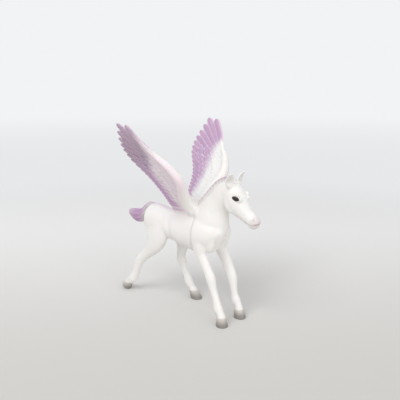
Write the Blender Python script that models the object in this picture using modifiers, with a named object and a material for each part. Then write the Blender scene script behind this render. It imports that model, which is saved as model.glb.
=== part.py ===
# A small toy foal with raised wings, moulded in one piece. It stands on the XY plane and faces +X.
import math

import bmesh
import bpy
from mathutils import Matrix, Vector

# Driving dimensions, in metres
BELLY_HEIGHT = 0.0336
TRUNK_LENGTH = 0.0570
TRUNK_DEPTH = 0.0225
TRUNK_WIDTH = 0.0186
NECK_LENGTH = 0.0240
NECK_WIDTH = 0.0160
HEAD_LENGTH = 0.0260
HEAD_WIDTH = 0.0106
EAR_LENGTH = 0.0064
EAR_WIDTH = 0.0056
MANE_WIDTH = 0.0026
MANE_HEIGHT = 0.0040
TAIL_LENGTH = 0.0195
TAIL_WIDTH = 0.0050
LEG_THICKNESS = 0.0050
WING_LENGTH = 0.0529
WING_CHORD = 0.0250
WING_ARM_THICKNESS = 0.0060
WING_SHEET_THICKNESS = 0.0014
FEATHER_THICKNESS = 0.0018
FEATHER_INSET = 0.0030

# Where each hoof stands, forward and to the left of the middle of the trunk
RIGHT_FORE_HOOF = (0.0310, -0.0068)
LEFT_FORE_HOOF = (0.0322, 0.0064)
RIGHT_HIND_HOOF = (-0.0392, -0.0095)
LEFT_HIND_HOOF = (0.0000, 0.0082)

# How the skin is drawn over the forms, and its finish
BODY_GRAIN = 0.0005
FINE_GRAIN = 0.00031
BODY_SOFTENING = 10
WING_SOFTENING = 1
BLEND_SOFTENING = 1
FACE_COUNT = 11400
SOLE_SNAP = 0.00004
SHARP_ANGLE = math.radians(55)
PEARL_WHITE = (0.84, 0.81, 0.80)
PEARL_ROUGHNESS = 0.45

# How finely the forms are drawn
RING_SIDES = 20
BLADE_SIDES = 10
ROW_STEPS = 4
WING_STEPS = 24
FEATHER_STEPS = 12

# Trunk from buttock to breast: along, top, bottom and half width, as shares of its sizes
TRUNK_ROWS = [
    (0.00, 0.64, 0.48, 0.12),
    (0.02, 0.76, 0.36, 0.28),
    (0.08, 0.86, 0.20, 0.42),
    (0.18, 0.86, 0.10, 0.47),
    (0.29, 0.81, 0.10, 0.455),
    (0.41, 0.80, 0.07, 0.465),
    (0.54, 0.86, -0.01, 0.50),
    (0.66, 0.98, -0.04, 0.50),
    (0.78, 1.00, -0.02, 0.48),
    (0.89, 0.88, 0.12, 0.42),
    (0.96, 0.74, 0.34, 0.31),
    (0.985, 0.60, 0.46, 0.16),
]
TRUNK_EGG = -0.10

# Where the withers lie on the trunk, along and up
WITHERS = (0.66, 0.99)

# Neck from the withers to the poll: throat side, crest side and half width, in neck lengths
NECK_ROWS = [
    (0.76, -0.58, -0.17, -0.08, 0.48),
    (0.79, -0.29, 0.03, 0.08, 0.41),
    (0.79, -0.10, 0.23, 0.24, 0.32),
    (0.81, 0.04, 0.41, 0.42, 0.27),
    (0.94, 0.21, 0.56, 0.58, 0.26),
    (1.08, 0.37, 0.72, 0.68, 0.24),
]
POLL = (0.75, 0.67)

# Head from the poll to the lips: brow side, jaw side and half width, in head lengths
HEAD_ROWS = [
    (0.02, 0.01, -0.04, -0.38, 0.34),
    (0.17, 0.035, 0.06, -0.50, 0.45),
    (0.31, -0.055, 0.17, -0.58, 0.48),
    (0.405, -0.20, 0.30, -0.63, 0.44),
    (0.475, -0.34, 0.41, -0.675, 0.36),
    (0.565, -0.465, 0.51, -0.73, 0.29),
    (0.67, -0.54, 0.60, -0.785, 0.31),
    (0.73, -0.59, 0.675, -0.79, 0.28),
    (0.76, -0.64, 0.735, -0.745, 0.16),
]

# Ears: seat forward and up in head lengths and out in widths; height, half width, thickness, hollow
EAR_SEAT = (0.19, -0.03, 0.34)
EAR_ROWS = [
    (-0.25, 0.20, 0.16, 0.0),
    (0.00, 0.36, 0.26, 0.2),
    (0.30, 0.50, 0.33, 1.3),
    (0.60, 0.43, 0.28, 1.4),
    (0.85, 0.24, 0.18, 1.2),
    (1.00, 0.09, 0.09, 0.0),
]
EAR_LEAN = (0.33, 0.25, 0.91)
EAR_ACROSS = (-0.15, 0.98, 0.0)

# Mane from the forelock down to the withers: place in neck lengths, half width and half height
MANE_ROWS = [
    (0.90, 0.69, 0.30, 0.30),
    (0.76, 0.68, 0.50, 0.50),
    (0.55, 0.57, 0.50, 0.50),
    (0.32, 0.35, 0.40, 0.50),
    (0.08, 0.11, 0.30, 0.40),
]

# Tail from the croup to the tip: upper side, lower side and half width, in tail lengths
TAIL_ROWS = [
    (0.23, 0.00, 0.18, -0.30, 0.50),
    (-0.05, 0.01, -0.03, -0.28, 0.48),
    (-0.23, -0.09, -0.15, -0.43, 0.44),
    (-0.40, -0.24, -0.33, -0.62, 0.46),
    (-0.58, -0.30, -0.56, -0.70, 0.50),
    (-0.78, -0.32, -0.78, -0.65, 0.44),
    (-0.94, -0.35, -0.94, -0.55, 0.30),
    (-1.01, -0.41, -1.01, -0.46, 0.12),
]
TAIL_SEAT = (0.03, 0.86)

# Each leg from its seat in the trunk to its hoof: height, forward reach, depth and breadth
RIGHT_FORE_ROWS = [
    (1.00, 1.00, 2.50, 1.00),
    (0.88, 0.93, 1.92, 1.24),
    (0.77, 0.86, 1.28, 1.04),
    (0.69, 0.74, 1.12, 0.94),
    (0.60, 0.59, 1.00, 0.90),
    (0.52, 0.47, 1.06, 0.98),
    (0.42, 0.39, 0.84, 0.80),
    (0.34, 0.30, 0.76, 0.74),
    (0.25, 0.21, 0.82, 0.78),
    (0.19, 0.165, 1.04, 0.90),
    (0.14, 0.08, 0.84, 0.82),
    (0.10, 0.04, 1.00, 0.96),
    (0.00, 0.00, 1.28, 1.20),
    (-0.05, -0.02, 1.32, 1.24),
]
LEFT_FORE_ROWS = [
    (1.00, 1.00, 2.50, 1.00),
    (0.88, 0.84, 1.92, 1.24),
    (0.76, 0.68, 1.36, 1.08),
    (0.66, 0.52, 1.20, 1.00),
    (0.55, 0.38, 1.08, 0.96),
    (0.47, 0.30, 1.06, 0.98),
    (0.35, 0.24, 0.80, 0.76),
    (0.26, 0.20, 0.76, 0.72),
    (0.20, 0.15, 1.00, 0.88),
    (0.15, 0.08, 0.84, 0.80),
    (0.10, 0.05, 1.00, 0.94),
    (0.00, 0.00, 1.28, 1.20),
    (-0.05, -0.02, 1.32, 1.24),
]
LEFT_HIND_ROWS = [
    (1.00, 1.00, 3.40, 1.00),
    (0.88, 0.76, 2.80, 1.32),
    (0.75, 0.56, 2.04, 1.20),
    (0.64, 0.55, 1.32, 1.04),
    (0.54, 0.62, 1.12, 0.94),
    (0.47, 0.61, 1.22, 0.94),
    (0.40, 0.52, 0.94, 0.82),
    (0.29, 0.41, 0.80, 0.78),
    (0.20, 0.31, 1.04, 0.90),
    (0.13, 0.19, 0.84, 0.82),
    (0.10, 0.13, 1.00, 0.94),
    (0.00, 0.00, 1.32, 1.20),
    (-0.05, -0.06, 1.36, 1.24),
]
RIGHT_HIND_ROWS = [
    (1.00, 1.00, 3.40, 1.00),
    (0.88, 1.07, 3.20, 1.36),
    (0.76, 1.03, 2.50, 1.32),
    (0.67, 0.91, 1.80, 1.20),
    (0.59, 0.76, 1.36, 1.04),
    (0.51, 0.58, 1.18, 0.96),
    (0.445, 0.46, 1.18, 0.94),
    (0.355, 0.39, 1.02, 0.86),
    (0.255, 0.315, 0.96, 0.82),
    (0.177, 0.225, 1.12, 0.92),
    (0.132, 0.13, 0.98, 0.86),
    (0.105, 0.06, 1.02, 0.96),
    (0.027, -0.05, 1.28, 1.18),
]

# Leg seats in the trunk: along, up and half way out, as shares of its sizes
FORE_SEAT = (0.755, 0.46, 0.33)
RIGHT_HIND_SEAT = (0.20, 0.46, 0.33)
LEFT_HIND_SEAT = (0.20, 0.46, 0.33)

# Rounded muscles on both flanks: along, up, out, then their radii, as shares of the trunk's sizes
TRUNK_MUSCLES = [
    (0.195, 0.43, 0.20, 0.185, 0.36, 0.285),
    (0.865, 0.27, 0.145, 0.045, 0.21, 0.135),
    (0.868, 0.373, 0.29, 0.075, 0.29, 0.135),
]

# The shoulders stand out from the barrel behind them: where they start and end, and by how much
SHOULDER_SPAN = (0.715, 0.925)
SHOULDER_STEP = 0.0006
SHOULDER_HEIGHT = 0.93
SHOULDER_STEPS = 12

# Where the skin is softened round the wings' feet, as shares of the trunk, and round the ears' feet
WING_FOOT_BOX = ((0.33, 0.74, -0.60), (0.86, 1.10, 0.60))
WING_FOOT_SOFTENING = 14
EAR_FOOT_BOX = ((0.02, -0.13, -0.24), (0.36, 0.02, 0.24))
EAR_FOOT_SOFTENING = 6
SOFTENING_STRENGTH = 0.5

# Swellings on both sides of the head: forward and up in head lengths, out in widths, then radii
HEAD_SWELLINGS = [
    (0.23, -0.36, 0.34, 0.165, 0.19, 0.16),
    (0.35, -0.25, 0.385, 0.100, 0.070, 0.088),
    (0.675, -0.62, 0.21, 0.060, 0.050, 0.09),
]

# The wing's sheet seen from the front: span, then outward and upward, in wing lengths
WING_CURVE = [
    (-0.15, -0.06, -0.13),
    (0.00, 0.00, 0.00),
    (0.19, 0.113, 0.151),
    (0.35, 0.208, 0.284),
    (0.49, 0.284, 0.397),
    (0.62, 0.359, 0.510),
    (0.83, 0.473, 0.681),
    (1.00, 0.548, 0.832),
]

# Leading and trailing edges: span in wing lengths, forward place in chords
LEADING_EDGE = [
    (-0.15, 0.50),
    (0.00, 0.27),
    (0.06, 0.15),
    (0.12, 0.10),
    (0.20, 0.11),
    (0.35, 0.21),
    (0.45, 0.20),
    (0.575, 0.06),
    (0.67, -0.12),
    (0.76, -0.26),
    (0.87, -0.41),
    (1.00, -0.63),
]
TRAILING_EDGE = [
    (-0.15, -0.56),
    (0.02, -0.64),
    (0.17, -0.63),
    (0.325, -0.69),
    (0.41, -0.76),
    (0.48, -0.84),
    (0.55, -0.94),
    (0.62, -1.02),
    (0.73, -1.05),
    (0.83, -1.01),
    (0.91, -0.95),
    (1.00, -0.87),
]
WING_SEAT = (0.66, 0.95, 0.43)

# The arm along the leading edge: span, half breadth and half height in arm thicknesses
ARM_ROWS = [
    (-0.15, 1.10, 0.60),
    (0.00, 0.84, 0.58),
    (0.10, 0.62, 0.54),
    (0.20, 0.52, 0.50),
    (0.35, 0.45, 0.45),
    (0.55, 0.32, 0.32),
    (0.75, 0.18, 0.18),
    (0.92, 0.10, 0.10),
]

# Feathers: their tips' gaps in wing lengths, how these shrink, and how far the roots keep back
FIRST_GAP = 0.078
LAST_GAP = 0.040
GAP_SHRINK = 0.94
FEATHER_SWEEP = 0.53
FIRST_FEATHER = ((0.60, -0.10), (0.99, -0.64))
FIRST_FEATHER_HALF = 0.46
FEATHER_HALF = 0.50
TIP_CROWDING = 1.6
EDGE_THINNESS = 0.35
SHEET_ROWS = [
    (-0.15, 1.04),
    (0.00, 1.03),
    (0.12, 0.94),
    (0.30, 0.86),
    (0.60, 0.85),
    (0.80, 0.82),
    (0.93, 0.74),
]
FEATHER_TILT = math.radians(9)
BLADE_ROWS = [(0.0, 0.55), (0.3, 0.85), (0.6, 1.05), (0.8, 1.05), (0.93, 0.92), (0.985, 0.6), (1.0, 0.3)]


def clear_scene():
    for item in list(bpy.data.objects):
        bpy.data.objects.remove(item)


def read_curve(rows, key):
    # Smooth values of a table at a key in its first column
    index = 0
    while index < len(rows) - 2 and key > rows[index + 1][0]:
        index += 1
    before = rows[max(index - 1, 0)]
    start = rows[index]
    end = rows[index + 1]
    after = rows[min(index + 2, len(rows) - 1)]
    gap = end[0] - start[0]
    t = (key - start[0]) / gap
    values = []
    for column in range(1, len(start)):
        leave = (end[column] - before[column]) / (end[0] - before[0]) * gap
        arrive = (after[column] - start[column]) / (after[0] - start[0]) * gap
        rise = end[column] - start[column]
        bend = (3 * rise - 2 * leave - arrive) * t * t
        twist = (leave + arrive - 2 * rise) * t * t * t
        values.append(start[column] + leave * t + bend + twist)
    return values


def smooth_rows(rows, steps=ROW_STEPS):
    # A table with rows read smoothly between its own
    keyed = [(index, *row) for index, row in enumerate(rows)]
    count = (len(rows) - 1) * steps
    return [read_curve(keyed, step / steps) for step in range(count + 1)]


def loft(form, rings, sides=RING_SIDES, egg=0.0):
    # A closed tube through rings of centre, across, depth and any hollow, which may be egg-shaped
    loops = []
    for centre, across, depth, *hollow in rings:
        normal = across.cross(depth).normalized()
        frame = Matrix((across, depth, normal)).transposed().to_4x4()
        frame.translation = centre
        made = bmesh.ops.create_circle(form, segments=sides, radius=1.0, matrix=frame)
        for vert in made["verts"]:
            height = (vert.co - centre).dot(depth) / depth.length_squared
            sideways = (vert.co - centre).dot(across) / across.length_squared
            vert.co += across * (sideways * height * egg)
            vert.co -= depth * (max(height, 0.0) * sum(hollow))
        loops.append(list({edge for vert in made["verts"] for edge in vert.link_edges}))
    for lower, upper in zip(loops, loops[1:]):
        bmesh.ops.bridge_loops(form, edges=lower + upper)
    for end in (loops[0], loops[-1]):
        bmesh.ops.contextual_create(form, geom=end)


def ellipsoid(form, centre, radii, sides=RING_SIDES):
    frame = Matrix.Translation(centre) @ Matrix.Diagonal((*radii, 1.0))
    bmesh.ops.create_uvsphere(form, u_segments=sides, v_segments=sides // 2, radius=1.0, matrix=frame)


def trunk_point(along, up, out=0.0):
    # A place in the trunk from shares of its length, depth and width
    x = (along - 0.5) * TRUNK_LENGTH
    return Vector((x, out * TRUNK_WIDTH, BELLY_HEIGHT + up * TRUNK_DEPTH))


def withers():
    return trunk_point(*WITHERS)


def poll():
    return withers() + Vector((POLL[0], 0.0, POLL[1])) * NECK_LENGTH


def profile_rings(rows, origin, length, width):
    # Rings of a form that is drawn from the side, with an upper and a lower outline
    rings = []
    for top_x, top_z, low_x, low_z, half in smooth_rows(rows):
        top = origin + Vector((top_x, 0.0, top_z)) * length
        low = origin + Vector((low_x, 0.0, low_z)) * length
        rings.append(((top + low) / 2, Vector((0.0, half * width, 0.0)), (top - low) / 2))
    return rings


def add_trunk(form):
    rings = []
    for along, top, bottom, half in smooth_rows(TRUNK_ROWS):
        high = trunk_point(along, top)
        low = trunk_point(along, bottom)
        rings.append(((high + low) / 2, Vector((0.0, half * TRUNK_WIDTH, 0.0)), (high - low) / 2))
    loft(form, rings, egg=TRUNK_EGG)
    for along, up, out, long_radius, high_radius, wide_radius in TRUNK_MUSCLES:
        radii = (long_radius * TRUNK_LENGTH, wide_radius * TRUNK_WIDTH, high_radius * TRUNK_DEPTH)
        for side in (-1, 1):
            ellipsoid(form, trunk_point(along, up, side * out), radii)


def add_shoulders(form):
    rings = []
    start, end = SHOULDER_SPAN
    for step in range(SHOULDER_STEPS + 1):
        along = start + (end - start) * step / SHOULDER_STEPS
        top, bottom, half = read_curve(TRUNK_ROWS, along)
        middle = trunk_point(along, (top + bottom) / 2)
        depth = Vector((0.0, 0.0, (top - bottom) / 2 * TRUNK_DEPTH * SHOULDER_HEIGHT))
        across = Vector((0.0, half * TRUNK_WIDTH + SHOULDER_STEP, 0.0))
        rings.append((middle, across, depth))
    loft(form, rings, egg=TRUNK_EGG)


def add_neck_and_head(form):
    loft(form, profile_rings(NECK_ROWS, withers(), NECK_LENGTH, NECK_WIDTH))
    loft(form, profile_rings(HEAD_ROWS, poll(), HEAD_LENGTH, HEAD_WIDTH))
    for forward, up, out, long_radius, high_radius, wide_radius in HEAD_SWELLINGS:
        radii = (long_radius * HEAD_LENGTH, wide_radius * HEAD_WIDTH, high_radius * HEAD_LENGTH)
        for side in (-1, 1):
            place = poll() + Vector((forward, 0.0, up)) * HEAD_LENGTH
            place.y = side * out * HEAD_WIDTH
            ellipsoid(form, place, radii)


def add_ears(form):
    # Upright leaves with a hollow that looks forward and out
    for side in (-1, 1):
        foot = poll() + Vector((EAR_SEAT[0], 0.0, EAR_SEAT[1])) * HEAD_LENGTH
        foot.y = side * EAR_SEAT[2] * HEAD_WIDTH
        lean = Vector((EAR_LEAN[0], side * EAR_LEAN[1], EAR_LEAN[2])).normalized()
        across = Vector((EAR_ACROSS[0], side * EAR_ACROSS[1], EAR_ACROSS[2]))
        across = (across - lean * across.dot(lean)).normalized()
        front = across.cross(lean) * side
        rings = []
        for along, half, thick, hollow in EAR_ROWS:
            centre = foot + lean * (along * EAR_LENGTH)
            rings.append((centre, across * (half * EAR_WIDTH), front * (thick * EAR_WIDTH), hollow))
        loft(form, rings)


def add_mane(form):
    rings = []
    rows = smooth_rows(MANE_ROWS)
    places = [withers() + Vector((row[0], 0.0, row[1])) * NECK_LENGTH for row in rows]
    for index, row in enumerate(rows):
        ahead = places[min(index + 1, len(places) - 1)] - places[max(index - 1, 0)]
        rise = Vector((0.0, 1.0, 0.0)).cross(ahead).normalized()
        across = Vector((0.0, row[2] * MANE_WIDTH, 0.0))
        rings.append((places[index], across, rise * (row[3] * MANE_HEIGHT)))
    loft(form, rings, BLADE_SIDES)


def add_tail(form):
    loft(form, profile_rings(TAIL_ROWS, trunk_point(*TAIL_SEAT), TAIL_LENGTH, TAIL_WIDTH))


def add_leg(form, rows, seat, side, hoof):
    top = trunk_point(seat[0], seat[1], side * seat[2])
    stations = []
    for height, reach, depth, breadth in smooth_rows(rows):
        x = hoof[0] + (top.x - hoof[0]) * reach
        y = hoof[1] + (top.y - hoof[1]) * min(max(height, 0.0), 1.0)
        stations.append((Vector((x, y, top.z * height)), depth, breadth))
    rings = []
    for index, (centre, depth, breadth) in enumerate(stations):
        below = stations[min(index + 1, len(stations) - 1)][0]
        above = stations[max(index - 1, 0)][0]
        down = (below - above).normalized()
        forward = Vector((0.0, 1.0, 0.0)).cross(down).normalized()
        across = down.cross(forward)
        half = LEG_THICKNESS / 2
        rings.append((centre, across * (breadth * half), forward * (depth * half)))
    loft(form, rings)


def add_legs(form):
    add_leg(form, RIGHT_FORE_ROWS, FORE_SEAT, -1, RIGHT_FORE_HOOF)
    add_leg(form, LEFT_FORE_ROWS, FORE_SEAT, 1, LEFT_FORE_HOOF)
    add_leg(form, RIGHT_HIND_ROWS, RIGHT_HIND_SEAT, -1, RIGHT_HIND_HOOF)
    add_leg(form, LEFT_HIND_ROWS, LEFT_HIND_SEAT, 1, LEFT_HIND_HOOF)


def wing_point(span, chord):
    # A place on the left wing's sheet
    out, up = read_curve(WING_CURVE, span)
    seat = trunk_point(WING_SEAT[0], WING_SEAT[1], WING_SEAT[2] / 2)
    return seat + Vector((chord * WING_CHORD, out * WING_LENGTH, up * WING_LENGTH))


def wing_normal(span):
    step = 0.01
    rise = wing_point(span + step, 0.0) - wing_point(span - step, 0.0)
    return Vector((1.0, 0.0, 0.0)).cross(rise).normalized()


def add_wing_arm(form):
    rings = []
    for step in range(WING_STEPS + 1):
        span = ARM_ROWS[0][0] + (ARM_ROWS[-1][0] - ARM_ROWS[0][0]) * step / WING_STEPS
        broad, high = (half * WING_ARM_THICKNESS for half in read_curve(ARM_ROWS, span))
        edge = read_curve(LEADING_EDGE, span)[0] - broad / WING_CHORD
        centre = wing_point(span, edge)
        rings.append((centre, Vector((broad, 0.0, 0.0)), wing_normal(span) * high))
    loft(form, rings, RING_SIDES)


def add_wing_sheet(form):
    rings = []
    for step in range(WING_STEPS + 1):
        span = SHEET_ROWS[0][0] + (SHEET_ROWS[-1][0] - SHEET_ROWS[0][0]) * step / WING_STEPS
        front = read_curve(LEADING_EDGE, span)[0]
        back = read_curve(TRAILING_EDGE, span)[0]
        back = front + (back - front) * read_curve(SHEET_ROWS, span)[0]
        middle = wing_point(span, (front + back) / 2)
        across = Vector(((front - back) / 2 * WING_CHORD, 0.0, 0.0))
        rings.append((middle, across, wing_normal(span) * (WING_SHEET_THICKNESS / 2)))
    loft(form, rings, RING_SIDES)


def add_feather(form, root, tip, half_width):
    # A rounded blade that lies in the wing's sheet
    rings = []
    for step in range(FEATHER_STEPS + 1):
        t = 1.0 - (1.0 - step / FEATHER_STEPS) ** TIP_CROWDING
        span = root[0] + (tip[0] - root[0]) * t
        chord = root[1] + (tip[1] - root[1]) * t
        centre = wing_point(span, chord)
        normal = wing_normal(span)
        run = wing_point(tip[0], tip[1]) - wing_point(root[0], root[1])
        run -= normal * run.dot(normal)
        across = normal.cross(run).normalized()
        turn = Matrix.Rotation(FEATHER_TILT, 3, run)
        across = turn @ across
        normal = turn @ normal
        swell = read_curve(BLADE_ROWS, t)[0]
        thickness = min(1.0, EDGE_THINNESS + swell * (1.0 - EDGE_THINNESS)) * FEATHER_THICKNESS
        rings.append((centre, across * (half_width * swell), normal * (thickness / 2)))
    loft(form, rings, BLADE_SIDES)


def add_feathers(form):
    span = 1.0
    gap = FIRST_GAP
    inset = FEATHER_INSET / WING_CHORD
    add_feather(form, FIRST_FEATHER[0], FIRST_FEATHER[1], FIRST_GAP * WING_LENGTH * FIRST_FEATHER_HALF)
    while span > 0.0:
        root_span = span * FEATHER_SWEEP
        root = (root_span, read_curve(LEADING_EDGE, root_span)[0] - inset)
        tip = (span, read_curve(TRAILING_EDGE, span)[0])
        add_feather(form, root, tip, gap * WING_LENGTH * FEATHER_HALF)
        span -= gap
        gap = max(LAST_GAP, gap * GAP_SHRINK)


def mesh_object(form, name):
    bmesh.ops.triangulate(form, faces=[face for face in form.faces if len(face.verts) > 4])
    bmesh.ops.recalc_face_normals(form, faces=form.faces)
    mesh = bpy.data.meshes.new(name)
    form.to_mesh(mesh)
    form.free()
    made = bpy.data.objects.new(name, mesh)
    bpy.context.scene.collection.objects.link(made)
    return made


def fuse(source, name, grain, softening):
    # One skin over all the forms of an object, then softened
    remesh = source.modifiers.new("skin", "REMESH")
    remesh.mode = "VOXEL"
    remesh.voxel_size = grain
    if softening:
        soften = source.modifiers.new("soften", "SMOOTH")
        soften.iterations = softening
    fused = bpy.data.objects.new(name, evaluated_mesh(source))
    bpy.data.objects.remove(source)
    bpy.context.scene.collection.objects.link(fused)
    return fused


def soften_box(form, low, high, rounds):
    # Softens the skin between two corners, for the fillets where forms grow out of each other
    verts = [vert for vert in form.verts if all(a < b < c for a, b, c in zip(low, vert.co, high))]
    for _ in range(rounds):
        bmesh.ops.smooth_vert(form, verts=verts, factor=SOFTENING_STRENGTH,
                              use_axis_x=True, use_axis_y=True, use_axis_z=True)


def soften_feet(mesh):
    form = bmesh.new()
    form.from_mesh(mesh)
    low, high = (trunk_point(*corner) for corner in WING_FOOT_BOX)
    soften_box(form, low, high, WING_FOOT_SOFTENING)
    low, high = (poll() + Vector((x, y, z)) * HEAD_LENGTH for x, z, y in EAR_FOOT_BOX)
    soften_box(form, low, high, EAR_FOOT_SOFTENING)
    form.to_mesh(mesh)
    form.free()


def thin_skin(source):
    # The same skin with fewer faces, most of them where it bends
    thin = source.modifiers.new("thin", "DECIMATE")
    thin.ratio = min(1.0, FACE_COUNT / (2 * len(source.data.polygons)))
    thin.use_collapse_triangulate = True
    mesh = evaluated_mesh(source)
    source.modifiers.clear()
    source.data = mesh


def evaluated_mesh(source):
    bpy.context.view_layer.update()
    graph = bpy.context.evaluated_depsgraph_get()
    return bpy.data.meshes.new_from_object(source.evaluated_get(graph))


def build_body():
    form = bmesh.new()
    add_trunk(form)
    add_shoulders(form)
    add_neck_and_head(form)
    add_mane(form)
    add_tail(form)
    add_legs(form)
    return fuse(mesh_object(form, "body_forms"), "body", BODY_GRAIN, BODY_SOFTENING)


def build_wings():
    form = bmesh.new()
    add_wing_arm(form)
    add_wing_sheet(form)
    add_feathers(form)
    mirrored = bmesh.ops.duplicate(form, geom=form.verts[:] + form.edges[:] + form.faces[:])
    turned = [item for item in mirrored["geom"] if isinstance(item, bmesh.types.BMVert)]
    bmesh.ops.scale(form, vec=(1.0, -1.0, 1.0), verts=turned)
    add_ears(form)
    return fuse(mesh_object(form, "wing_forms"), "wings", FINE_GRAIN, WING_SOFTENING)


def flatten_soles(mesh):
    # Cuts the hooves level with the ground, closes them and centres the foal over the origin
    form = bmesh.new()
    form.from_mesh(mesh)
    geometry = form.verts[:] + form.edges[:] + form.faces[:]
    bmesh.ops.bisect_plane(form, geom=geometry, dist=SOLE_SNAP, plane_co=(0.0, 0.0, 0.0),
                           plane_no=(0.0, 0.0, -1.0), clear_outer=True)
    for vert in form.verts:
        if vert.co.z <= SOLE_SNAP:
            vert.co.z = 0.0
    forward = [vert.co.x for vert in form.verts]
    centre = (max(forward) + min(forward)) / 2
    bmesh.ops.translate(form, vec=(-centre, 0.0, 0.0), verts=form.verts)
    rim = [edge for edge in form.edges if edge.is_boundary]
    bmesh.ops.holes_fill(form, edges=rim, sides=0)
    bmesh.ops.triangulate(form, faces=form.faces)
    bmesh.ops.recalc_face_normals(form, faces=form.faces)
    form.to_mesh(mesh)
    form.free()


def plastic(name, colour, roughness):
    material = bpy.data.materials.new(name)
    material.use_nodes = True
    shader = material.node_tree.nodes["Principled BSDF"]
    shader.inputs["Base Color"].default_value = (*colour, 1.0)
    shader.inputs["Roughness"].default_value = roughness
    shader.inputs["Metallic"].default_value = 0.0
    return material


def build_foal():
    body = build_body()
    wings = build_wings()
    form = bmesh.new()
    form.from_mesh(body.data)
    form.from_mesh(wings.data)
    for item in (body, wings):
        bpy.data.objects.remove(item)
    foal = fuse(mesh_object(form, "joined"), "pegasus_foal", FINE_GRAIN, BLEND_SOFTENING)
    soften_feet(foal.data)
    thin_skin(foal)
    flatten_soles(foal.data)
    foal.data.materials.append(plastic("pearl_white_plastic", PEARL_WHITE, PEARL_ROUGHNESS))
    foal.data.shade_smooth()
    foal.data.set_sharp_from_angle(angle=SHARP_ANGLE)
    return foal


def main():
    clear_scene()
    collection = bpy.data.collections.new("pegasus_figurine")
    bpy.context.scene.collection.children.link(collection)
    foal = build_foal()
    bpy.context.scene.collection.objects.unlink(foal)
    collection.objects.link(foal)


main()
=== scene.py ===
# A small toy foal with raised wings on a pale studio floor. Lengths are in metres; mm makes them readable.
import math

import bmesh
import bpy
import numpy as np
from mathutils import Matrix, Vector
from mathutils.bvhtree import BVHTree


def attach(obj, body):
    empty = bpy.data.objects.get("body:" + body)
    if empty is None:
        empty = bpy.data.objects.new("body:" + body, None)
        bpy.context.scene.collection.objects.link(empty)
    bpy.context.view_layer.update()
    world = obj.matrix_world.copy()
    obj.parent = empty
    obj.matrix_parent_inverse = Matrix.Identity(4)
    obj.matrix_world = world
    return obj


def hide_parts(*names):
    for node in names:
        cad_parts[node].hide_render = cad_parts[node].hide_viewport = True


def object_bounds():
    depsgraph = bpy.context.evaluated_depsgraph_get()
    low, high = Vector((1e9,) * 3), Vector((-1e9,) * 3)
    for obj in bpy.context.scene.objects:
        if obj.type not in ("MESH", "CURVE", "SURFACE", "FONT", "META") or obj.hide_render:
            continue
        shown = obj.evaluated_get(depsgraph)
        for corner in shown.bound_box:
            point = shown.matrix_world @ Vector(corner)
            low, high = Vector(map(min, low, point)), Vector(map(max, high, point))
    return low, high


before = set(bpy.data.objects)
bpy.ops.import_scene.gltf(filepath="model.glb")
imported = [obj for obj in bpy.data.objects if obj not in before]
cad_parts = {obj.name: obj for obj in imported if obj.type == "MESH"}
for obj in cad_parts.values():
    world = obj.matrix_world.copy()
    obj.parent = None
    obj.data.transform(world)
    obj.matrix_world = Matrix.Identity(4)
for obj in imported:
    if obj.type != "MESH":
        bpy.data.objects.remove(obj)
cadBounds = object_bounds()
mm = 0.001
ahead = Vector((1.0, 0.0, 0.0))
leftward = Vector((0.0, 1.0, 0.0))
print("frame loaded")


def readCurve(rows, key):  # smooth values of a table at a key in its first column
    index = 0
    while index < len(rows) - 2 and key > rows[index + 1][0]:
        index += 1
    before = rows[max(index - 1, 0)]
    start = rows[index]
    end = rows[index + 1]
    after = rows[min(index + 2, len(rows) - 1)]
    gap = end[0] - start[0]
    t = (key - start[0]) / gap
    values = []
    for column in range(1, len(start)):
        leave = (end[column] - before[column]) / (end[0] - before[0]) * gap
        arrive = (after[column] - start[column]) / (after[0] - start[0]) * gap
        rise = end[column] - start[column]
        bend = (3 * rise - 2 * leave - arrive) * t * t
        twist = (leave + arrive - 2 * rise) * t * t * t
        values.append(start[column] + leave * t + bend + twist)
    return values


def smoothRows(rows, steps=4):
    keyed = [(index, *row) for index, row in enumerate(rows)]
    count = (len(rows) - 1) * steps
    return [readCurve(keyed, step / steps) for step in range(count + 1)]


def newForm(*tags):  # an empty form whose points can carry numbers for the paint
    form = bmesh.new()
    for tag in tags:
        form.verts.layers.float.new(tag)
    return form


def openForm(*meshes):  # meshes as one form that can be edited
    form = bmesh.new()
    for mesh in meshes:
        form.from_mesh(mesh)
    return form


def closeForm(form, mesh):
    form.to_mesh(mesh)
    form.free()


def addForm(form, part):  # puts a small form into a larger one
    mesh = bpy.data.meshes.new("part")
    closeForm(part, mesh)
    form.from_mesh(mesh)
    bpy.data.meshes.remove(mesh)


def loft(form, rings, sides=20, egg=0.0, shape=None, marks=None):
    # a closed tube through rings of centre, across and depth vectors and any hollow
    tube = newForm(*form.verts.layers.float.keys())
    loops = []
    for number, (centre, across, depth, *hollow) in enumerate(rings):
        normal = across.cross(depth).normalized()
        turn = Matrix((across, depth, normal)).transposed().to_4x4()
        turn.translation = centre
        made = bmesh.ops.create_circle(tube, segments=sides, radius=1.0, matrix=turn)
        for vert in made["verts"]:
            height = (vert.co - centre).dot(depth) / depth.length_squared
            sideways = (vert.co - centre).dot(across) / across.length_squared
            vert.co += across * (sideways * height * egg)
            vert.co -= depth * (max(height, 0.0) * sum(hollow))
            if shape:
                vert.co += shape(number, sideways, height, across, depth)
            if marks:
                for tag, value in marks(number, sideways, height).items():
                    vert[tube.verts.layers.float[tag]] = value
        loops.append(list({edge for vert in made["verts"] for edge in vert.link_edges}))
    for lower, upper in zip(loops, loops[1:]):
        bmesh.ops.bridge_loops(tube, edges=lower + upper)
    for end in (loops[0], loops[-1]):
        bmesh.ops.contextual_create(tube, geom=end)
    addForm(form, tube)


def ellipsoid(form, centre, radii, sides=24):
    turn = Matrix.Translation(centre) @ Matrix.Diagonal((*radii, 1.0))
    bmesh.ops.create_uvsphere(form, u_segments=sides, v_segments=sides // 2, radius=1.0, matrix=turn)


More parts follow.
